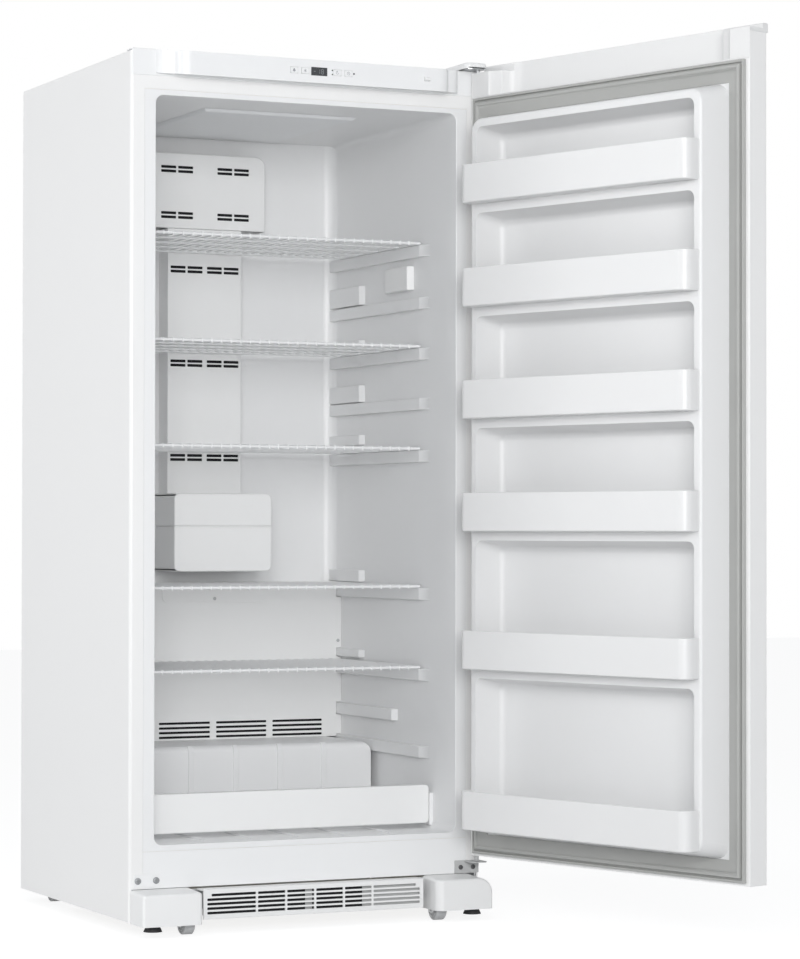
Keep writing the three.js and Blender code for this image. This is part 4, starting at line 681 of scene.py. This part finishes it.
header = bmesh.new()
shape = bulge(header, 0, 1656, 1702, 6)
rims = [e for e in edges_of(shape) if abs(e.verts[0].co.z - e.verts[1].co.z) < 8
        and min(v.co.y for v in e.verts) <= -1]
roll(header, rims, 3.6, 4)
band = bmesh.new()
shape = brick(band, (-378, 374), (-1.5, 30), (1650, 1702))
roll(band, running(edges_of(shape), 2), 3, 3)
roll(band, facing(band, 2, 1702), 1.6, 3)
roll(band, [e for e in facing(band, 2, 1650)], 1.6, 3)
header = carve(header, band, "UNION")
shell_room = bmesh.new()
brick(shell_room, (-382, 382), (-0.3, 40), (1600, 1699.3))
header = carve(header, shell_room)
pockets = bmesh.new()
brick(pockets, (-16, 19), (-50, -43.5), (1664.5, 1681.5))
for x in (-53, -29, 41, 65):
    brick(pockets, (x - 8.4, x + 8.4), (-50, -41.2), (1666.6, 1679.4))
brick(pockets, (232.6, 245.4), (-50, -27.7), (1668.6, 1677.4))
for x, low, high in ((-345, 1674, 1683), (343, 1668, 1686)):
    brick(pockets, (x - 1.3, x + 1.3), (-3, -0.9), (low, high))
header = carve(header, pockets)
piece(header, "header_band", header_white, "cabinet", stands_for=("control_header",))
for key in range(1, 5):
    dress(f"key_{key}", header_white)
dress("door_switch_plunger", cover_white)
dark_glass = coat("dark_glass", (0.045, 0.048, 0.053), 0.2, mottle=0.05, mottle_size=20, sheen_spread=0.03)
dress("display_lens", dark_glass)

# Printed signs and lamps: a grey number on the display, a bell, a snowflake, a ring and an arc on
# the keys, two lamps between them and one beside the last key.
print_grey = coat("printed_grey", (0.33, 0.34, 0.36), 0.5, mottle=0.04, mottle_size=4)
digit_grey = coat("display_digits", (0.2, 0.215, 0.225), 0.4, mottle=0.03, mottle_size=3)
digits = bmesh.new()
segments = {"-": "g", "1": "bc", "8": "abcdefg"}
strokes = {"a": (0, 4.6, 1), "b": (2.1, 2.3, 0), "c": (2.1, -2.3, 0), "d": (0, -4.6, 1), "e": (-2.1, -2.3, 0),
           "f": (-2.1, 2.3, 0), "g": (0, 0, 1)}
for sign, middle in (("-", -8.5), ("1", 0.5), ("8", 8.5)):
    for stroke in segments[sign]:
        dx, dz, level = strokes[stroke]
        half_x, half_z = (1.9, 0.55) if level else (0.55, 1.9)
        brick(digits, (middle + dx - half_x, middle + dx + half_x), (-45.08, -44.95),
              (1673 + dz - half_z, 1673 + dz + half_z))
piece(digits, "display_digits", digit_grey, "cabinet", flat=True)


def ring(bm, centre, radius, width, sweep=2 * math.pi, start=0.0, y=-45.45):
    """A flat printed ring or arc, spun from a short cross-section."""
    near, far, z = centre[0] + radius, centre[0] + radius + width, centre[1] - 0.02
    square = [(near, y, z), (far, y, z), (far, y + 0.12, z), (near, y + 0.12, z)]
    verts = [bm.verts.new(p) for p in square]
    bmesh.ops.rotate(bm, verts=verts, cent=(centre[0], y, centre[1]), matrix=Matrix.Rotation(start, 3, "Y"))
    face = bm.faces.new(verts)
    whole = abs(sweep - 2 * math.pi) < 1e-6
    edges = list(face.edges)
    if whole:
        bm.faces.remove(face)
    bmesh.ops.spin(bm, geom=edges if whole else [face], cent=(centre[0], y, centre[1]), axis=(0, 1, 0),
                   dvec=(0, 0, 0), angle=sweep, steps=20 if whole else 12, use_merge=whole, use_duplicate=False)


for key, x in ((1, -53), (2, -29), (3, 41), (4, 65)):
    sign = bmesh.new()
    if key == 1:
        bell = [(-3.2, 1670.6), (3.2, 1670.6), (1.6, 1675.2), (0, 1676.4), (-1.6, 1675.2)]
        slab(sign, [(x + across, -45.45, z) for across, z in bell], (0, 0.12, 0))
        brick(sign, (x - 0.8, x + 0.8), (-45.45, -45.33), (1669.2, 1670))
    elif key == 2:
        for turn in range(3):
            arm = brick(sign, (x - 0.4, x + 0.4), (-45.45, -45.33), (1669.6, 1676.4))
            bmesh.ops.rotate(sign, verts=arm, cent=(x, -45.4, 1673),
                             matrix=Matrix.Rotation(turn * math.pi / 3, 3, "Y"))
    elif key == 3:
        ring(sign, (x, 1673), 2.6, 0.8, sweep=1.5 * math.pi)
        brick(sign, (x - 0.4, x + 0.4), (-45.45, -45.33), (1673, 1677))
    else:
        ring(sign, (x, 1673), 2.6, 0.8)
        brick(sign, (x - 0.5, x + 0.5), (-45.45, -45.33), (1672, 1674.6))
    piece(sign, f"key_{key}_sign", print_grey, f"key_{key}", flat=True)
lamp_dots = bmesh.new()
for x, z, radius in ((30, 1677, 1.5), (30, 1669, 1.5), (77, 1673, 1.8)):
    barrel(lamp_dots, (x, -45.1, z), radius, 0.5, 1, 16)
piece(lamp_dots, "header_lamps", dark_glass, "cabinet")

# ---------------------------------------------------------------- hinges and lower front
# Plated and painted steel plates carry the door on two pins. A moulded cap hides the upper one. The
# leg covers and the toe grille are white mouldings; black pads and a grey sheet behind the grille paint the shade seen
# through its slots.
dress("top_hinge", screw_steel)
bracket_grey = coat("bracket_grey", (0.5, 0.505, 0.505), 0.5, grain=0.08, grain_size=2, mottle=0.03, mottle_size=20)
dress("lower_hinge_bracket", bracket_grey)
cap = bmesh.new()
shape = brick(cap, (330, 380), (-42, 86), (1702.3, 1714.3))
roll(cap, running(edges_of(shape), 2), 13, 5)
roll(cap, facing(cap, 2, 1714.3), 5, 4)
cap_inside = bmesh.new()
shape = brick(cap_inside, (332, 378), (-40, 84), (1700, 1712.3))
roll(cap_inside, running(edges_of(shape), 2), 11, 4)
brick(cap_inside, (336, 384), (-45, 76.5), (1700, 1705.2))
cap = carve(cap, cap_inside, crossing=True)
piece(cap, "hinge_cap", cover_white, "cabinet", stands_for=("hinge_cover",))
dull_zinc = coat("dull_zinc", (0.33, 0.34, 0.35), 0.5, grain=0.1, grain_size=1, mottle=0.05, mottle_size=6, metal=0.5)
dark_zinc = coat("dark_zinc", (0.1, 0.1, 0.105), 0.5, grain=0.1, grain_size=1, mottle=0.05, mottle_size=6, metal=0.4)
screws("leg_bracket_screws", [(x, -2.3, 80) for x in (-362, -324)], 1, -1, 6.5, material=dull_zinc)
screws("hinge_bracket_screws", [(x, -2.3, 76) for x in (338, 366)], 1, -1, 4.8, material=dark_zinc)


def leg_cover(side, outer_radius, inner_radius):
    """A hollow moulded cover over a front leg, open below and behind."""
    def form(inset):
        bm = bmesh.new()
        x = sorted((side * (253 + inset), side * (377 - inset)))
        shape = brick(bm, x, (-72 + inset, -0.3 + inset), (-2 - inset, 63 - inset))
        for vert in shape:
            if vert.co.y < -30 and vert.co.z > 30:
                vert.co.z -= 3
        roll(bm, [e for e in running(edges_of(shape), 1) if abs(e.verts[0].co.x) > 300 and e.verts[0].co.z > 30],
             outer_radius - inset, 8)
        roll(bm, [e for e in running(bm.edges, 2) if abs(e.verts[0].co.x) < 300 and e.verts[0].co.y < -30],
             inner_radius - inset, 5)
        bmesh.ops.recalc_face_normals(bm, faces=bm.faces)
        rims = [e for e in bm.edges if e.calc_face_angle() > 0.6 and max(v.co.z for v in e.verts) > 0
                and min(v.co.y for v in e.verts) < -5]
        roll(bm, rims, 6 - inset, 4)
        return bm
    return carve(form(0), form(2.5))


for name, side, outer_radius, inner_radius in (("left", -1, 7, 8), ("right", 1, 30, 16)):
    piece(leg_cover(side, outer_radius, inner_radius), f"{name}_leg_shell", cover_white, "cabinet",
          stands_for=(f"leg_cover_{name}",))

grille = bmesh.new()
shape = brick(grille, (-238, 238), (-36, -33), (3, 61))
roll(grille, facing(grille, 1, -36), 1, 2)
lid = bmesh.new()
brick(lid, (-238, 238), (-35.5, -0.3), (58, 60.9))
grille = carve(grille, lid, "UNION")
slots = bmesh.new()
for row in range(5):
    end = 221 if row == 4 else 230
    z = 15 + 8.7 * row
    stops = [-end, -125, -62.5, 0, 62.5, 125, end]
    for left, right in zip(stops, stops[1:]):
        low = left + (0 if left == -end else 2)
        high = right - (0 if right == end else 2)
        shape = brick(slots, (low, high), (-40, -30), (z - 2.6, z + 2.6))
        roll(slots, running(edges_of(shape), 1), 1.2, 2)
grille = carve(grille, slots)
piece(grille, "toe_grille_front", cover_white, "cabinet", stands_for=("toe_grille",))
# Painted shade: black pads behind the left and middle of the grille's slots, where the space behind the grille lies in
# shadow.
grille_shade_pads = bmesh.new()
for left, right in ((-236, -20), (-3, 104)):
    brick(grille_shade_pads, (left, right), (-31, -27), (10, 57))
piece(grille_shade_pads, "grille_painted_shade", painted_shade_black, "cabinet", flat=True)
# A grey sheet behind all the slots; its grey is partly painted shade seen through them.
grille_shaded_backing = bmesh.new()
brick(grille_shaded_backing, (-236, 236), (-26.8, -25), (10, 57))
piece(grille_shaded_backing, "grille_shaded_backing", bracket_grey, "cabinet", flat=True)

# ---------------------------------------------------------------- base frame, rollers and feet
# Folded plated steel frame on four grey nylon rollers, with two black levelling feet in front.
frame_steel = coat("frame_steel", (0.58, 0.59, 0.6), 0.4, grain=0.05, grain_size=8, mottle=0.08, mottle_size=25,
                   metal=0.85, cells=True)
grey_nylon = coat("grey_nylon", (0.55, 0.555, 0.56), 0.5, grain=0.08, grain_size=1, mottle=0.05, mottle_size=15)
black_rubber = coat("black_rubber", (0.025, 0.025, 0.027), 0.7, grain=0.2, grain_size=1.2, mottle=0.2, mottle_size=10)
dress("base_frame", frame_steel)
for side in ("left", "right"):
    for end in ("front", "rear"):
        node = f"{end}_roller_{side}"
        low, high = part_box(node)
        centre = (low + high) / 2
        radius, width = (high.z - low.z) / 2 / MM, 22
        wheel = bmesh.new()
        half = width / 2
        one_half = [(0, half + 3.2), (3.8, half + 3.2), (3.8, half), (radius * 0.45, half), (radius * 0.5, half - 2.5),
                    (radius * 0.8, half - 2.5), (radius * 0.84, half), (radius - 1.6, half), (radius, half - 1.6)]
        profile = [(out, -along) for out, along in one_half] + one_half[::-1]
        line = [wheel.verts.new((along, 0, out)) for out, along in profile]
        edges = [wheel.edges.new(pair) for pair in zip(line, line[1:])]
        bmesh.ops.spin(wheel, geom=line + edges, cent=(0, 0, 0), axis=(1, 0, 0), dvec=(0, 0, 0), angle=2 * math.pi,
                       steps=40, use_merge=True, use_duplicate=False)
        piece(wheel, f"{node}_wheel", grey_nylon, node,
              place=Matrix.Translation(centre) @ Matrix.Scale(MM, 4), stands_for=(node,))
    dress(f"levelling_foot_{side}", black_rubber)

# ---------------------------------------------------------------- cooling machinery
# Black enamelled compressor and condenser, drain pan and cord inlet behind the service cover.
black_enamel = coat("black_enamel", (0.02, 0.02, 0.022), 0.28, grain=0.05, grain_size=3, mottle=0.1, mottle_size=40)
for node in ("compressor", "condenser_coil"):
    dress(node, black_enamel)
dress("drain_pan", fan_black)
dress("cord_gland", black_rubber)

# ---------------------------------------------------------------- door panel and top band
# The door hangs on the right and stands open. Its outer panel is folded from the cabinet's grained
# steel. The moulding along its top is scooped out over a thin ledge to pass round the header.
hinge_line = Vector((367.6, -17.1, 0))
open_angle = math.radians(106.4)
door_place = cabinet_place @ Matrix.Translation(hinge_line) @ Matrix.Rotation(open_angle, 4, "Z") \
    @ Matrix.Translation(-hinge_line)
dress("door_outer_panel", grained_paint)
dress("handle_pocket", cover_white)
band_white = coat("band_white", (0.8, 0.8, 0.798), 0.42, grain=0.03, grain_size=2, mottle=0.006, mottle_size=300)
top_band = bmesh.new()
shape = brick(top_band, (-378.9, 378.9), (-59.6, -12.3), (1645.3, 1696.5))
roll(top_band, [e for e in running(edges_of(shape), 2) if e.verts[0].co.y < -40], 4, 3)
crest = bmesh.new()
brick(crest, (-380, 285), (-60.7, -12.3), (1696.3, 1704))
top_band = carve(top_band, crest, "UNION")
lip = bmesh.new()
shape = brick(lip, (-380, 380), (-62.7, -47.7), (1696.3, 1714))
roll(lip, [e for e in running(edges_of(shape), 0) if e.verts[0].co.z > 1710], 3, 3)
top_band = carve(top_band, lip, "UNION")
scoop = bmesh.new()
bulge(scoop, 8, 1640, 1720, 0)
top_band = carve(top_band, scoop)
ledge = bmesh.new()
brick(ledge, (-378, 378), (-59, -12.3), (1645.3, 1647.3))
top_band = carve(top_band, ledge, "UNION")
pin_hole = bmesh.new()
barrel(pin_hole, (367.6, -17.1, 1692), 4.4, 20, 2, 20)
top_band = carve(top_band, pin_hole)
piece(top_band, "door_top_moulding", band_white, "door", door_place, stands_for=("door_top_band",))

# ---------------------------------------------------------------- door liner
# Vacuum-formed white polystyrene. Its raised middle fills the compartment's mouth, and six wells in
# it, one over each rack, leave narrow ledges that carry the racks.
rack_floors = (1418, 1210, 985.5, 760, 484.5, 164)


def raised_middle(inset, base):
    """The block that the liner's middle stands up to, with sloping sides and rolled edges."""
    bm = bmesh.new()
    shape = brick(bm, (-326 + inset, 326 - inset), (base, 52 - inset), (147 + inset, 1602 - inset))
    for vert in shape:
        if vert.co.y > 20:
            vert.co.x -= math.copysign(12, vert.co.x)
            vert.co.z += 12 if vert.co.z < 800 else -12
    sloping = [e for e in edges_of(shape) if abs(e.verts[0].co.y - e.verts[1].co.y) > 10]
    roll(bm, sloping, 26 - inset, 6)
    roll(bm, facing(bm, 1, 52 - inset), 6 - inset, 4)
    return bm


def wells(grow):
    """The six hollows between the racks, grown by grow."""
    bm = bmesh.new()
    for index, low in enumerate(rack_floors):
        high = 1575 if index == 0 else rack_floors[index - 1] - 17
        shape = brick(bm, (-299 - grow, 299 + grow), (-15 - grow, 58), (low - grow, high + grow))
        for vert in shape:
            if vert.co.y < 0:
                vert.co.x -= math.copysign(10, vert.co.x)
                vert.co.z -= 14 if vert.co.z > low + 20 else 0
        deep = [e for e in edges_of(shape) if abs(e.verts[0].co.y - e.verts[1].co.y) > 10]
        roll(bm, deep, 16 + grow, 5)
        rear = [e for e in bm.edges if all(abs(v.co.y + 15 + grow) < 0.01 for v in e.verts)
                and low - 6 < e.verts[0].co.z < high + 6]
        roll(bm, rear, 12 + grow, 4)
    return bm


door_liner_white = coat("door_liner_white", (0.8, 0.802, 0.804), 0.38, grain=0.03, grain_size=14, mottle=0.01,
                        mottle_size=250)
outside = raised_middle(0, -13)
border = bmesh.new()
brick(border, (-368, 368), (-17, -12.3), (112, 1645))
outside = carve(outside, border, "UNION")
outside = carve(outside, wells(0))
lips = [e for e in facing(outside, 1, 52, 0.05)
        if abs(e.verts[0].co.x) < 299.6 and abs(e.verts[1].co.x) < 299.6 and not e.is_boundary
        and max(f.calc_area() for f in e.link_faces) > 1000 and min(abs(f.normal.y) for f in e.link_faces) < 0.9]
roll(outside, lips, 5, 3)
hollow = carve(raised_middle(2, -18), wells(2))
door_skin = carve(outside, hollow)
piece(door_skin, "door_inner_moulding", door_liner_white, "door", door_place,
      stands_for=("door_liner",))

# ---------------------------------------------------------------- door racks
# White mouldings with a front that wraps back to the liner's edges, a narrow floor and two slots in
# the floor near the ends.
rack_white = coat("rack_white", (0.8, 0.801, 0.801), 0.32, grain=0.02, grain_size=8, mottle=0.006, mottle_size=200)
for number, low in enumerate(rack_floors, start=1):
    rack = bmesh.new()
    shape = brick(rack, (-310, 310), (52.3, 90), (low, low + 77))
    roll(rack, [e for e in running(edges_of(shape), 2) if e.verts[0].co.y > 80], 20, 8)
    roll(rack, [e for e in facing(rack, 2, low + 77) if not all(v.co.y < 53 for v in e.verts)], 1.3, 3)
    roll(rack, [e for e in facing(rack, 2, low) if not all(v.co.y < 53 for v in e.verts)], 3, 3)
    room = bmesh.new()
    shape = brick(room, (-307, 307), (40, 87), (low + 3, low + 80))
    roll(room, [e for e in running(edges_of(shape), 2) if e.verts[0].co.y > 80], 17, 8)
    rack = carve(rack, room)
    gaps = bmesh.new()
    for side in (-1, 1):
        brick(gaps, sorted((side * 178, side * 298)), (50, 57.3), (low - 1, low + 4))
    rack = carve(rack, gaps)
    piece(rack, f"rack_{number}_moulding", rack_white, "door", door_place,
          stands_for=(f"door_rack_{number}",))

# ---------------------------------------------------------------- door gasket
# Grey magnetic vinyl profile, pushed into a groove and welded at mitred corners: an outer lip, a
# deep groove, the round magnet pocket and a broad inner flap.
gasket_grey = coat("gasket_grey", (0.42, 0.423, 0.41), 0.55, grain=0.08, grain_size=1.4, mottle=0.02, mottle_size=70)
section = [(0, -12), (0, -5.5), (1.2, -4.4), (3.8, -4.4), (5, -5.4), (5.2, -9.6), (8.4, -9.6), (8.8, -3.2),
           (10, -1.4), (12.4, -0.8), (14.8, -1.3), (16.4, -3), (18, -6.2), (22, -7.2), (30, -8.2), (38, -9),
           (40, -9.6), (40, -12)]
gasket = bmesh.new()
corners = [(370, 106, -1, 1), (370, 1643, -1, -1), (-370, 1643, 1, -1), (-370, 106, 1, 1)]
first = [gasket.verts.new((corners[0][0] + corners[0][2] * inward, y, corners[0][1] + corners[0][3] * inward))
         for inward, y in section]
ring_edges = [gasket.edges.new(pair) for pair in zip(first, first[1:] + first[:1])]
start_edges = ring_edges
for x, z, in_x, in_z in corners[1:]:
    step = bmesh.ops.extrude_edge_only(gasket, edges=ring_edges)["geom"]
    new_verts = [item for item in step if isinstance(item, bmesh.types.BMVert)]
    ring_edges = [item for item in step if isinstance(item, bmesh.types.BMEdge)]
    old_x, old_z, old_in_x, old_in_z = corners[corners.index((x, z, in_x, in_z)) - 1]
    for vert in new_verts:
        inward = (vert.co.x - old_x) * old_in_x
        vert.co.x, vert.co.z = x + in_x * inward, z + in_z * inward
bmesh.ops.bridge_loops(gasket, edges=ring_edges + start_edges)
piece(gasket, "gasket_profile", gasket_grey, "door", door_place, stands_for=("door_gasket",), sharp=50)

# ---------------------------------------------------------------- close
for part in (cad_box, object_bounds()):
    print([round(value, 4) for corner in part for value in corner])
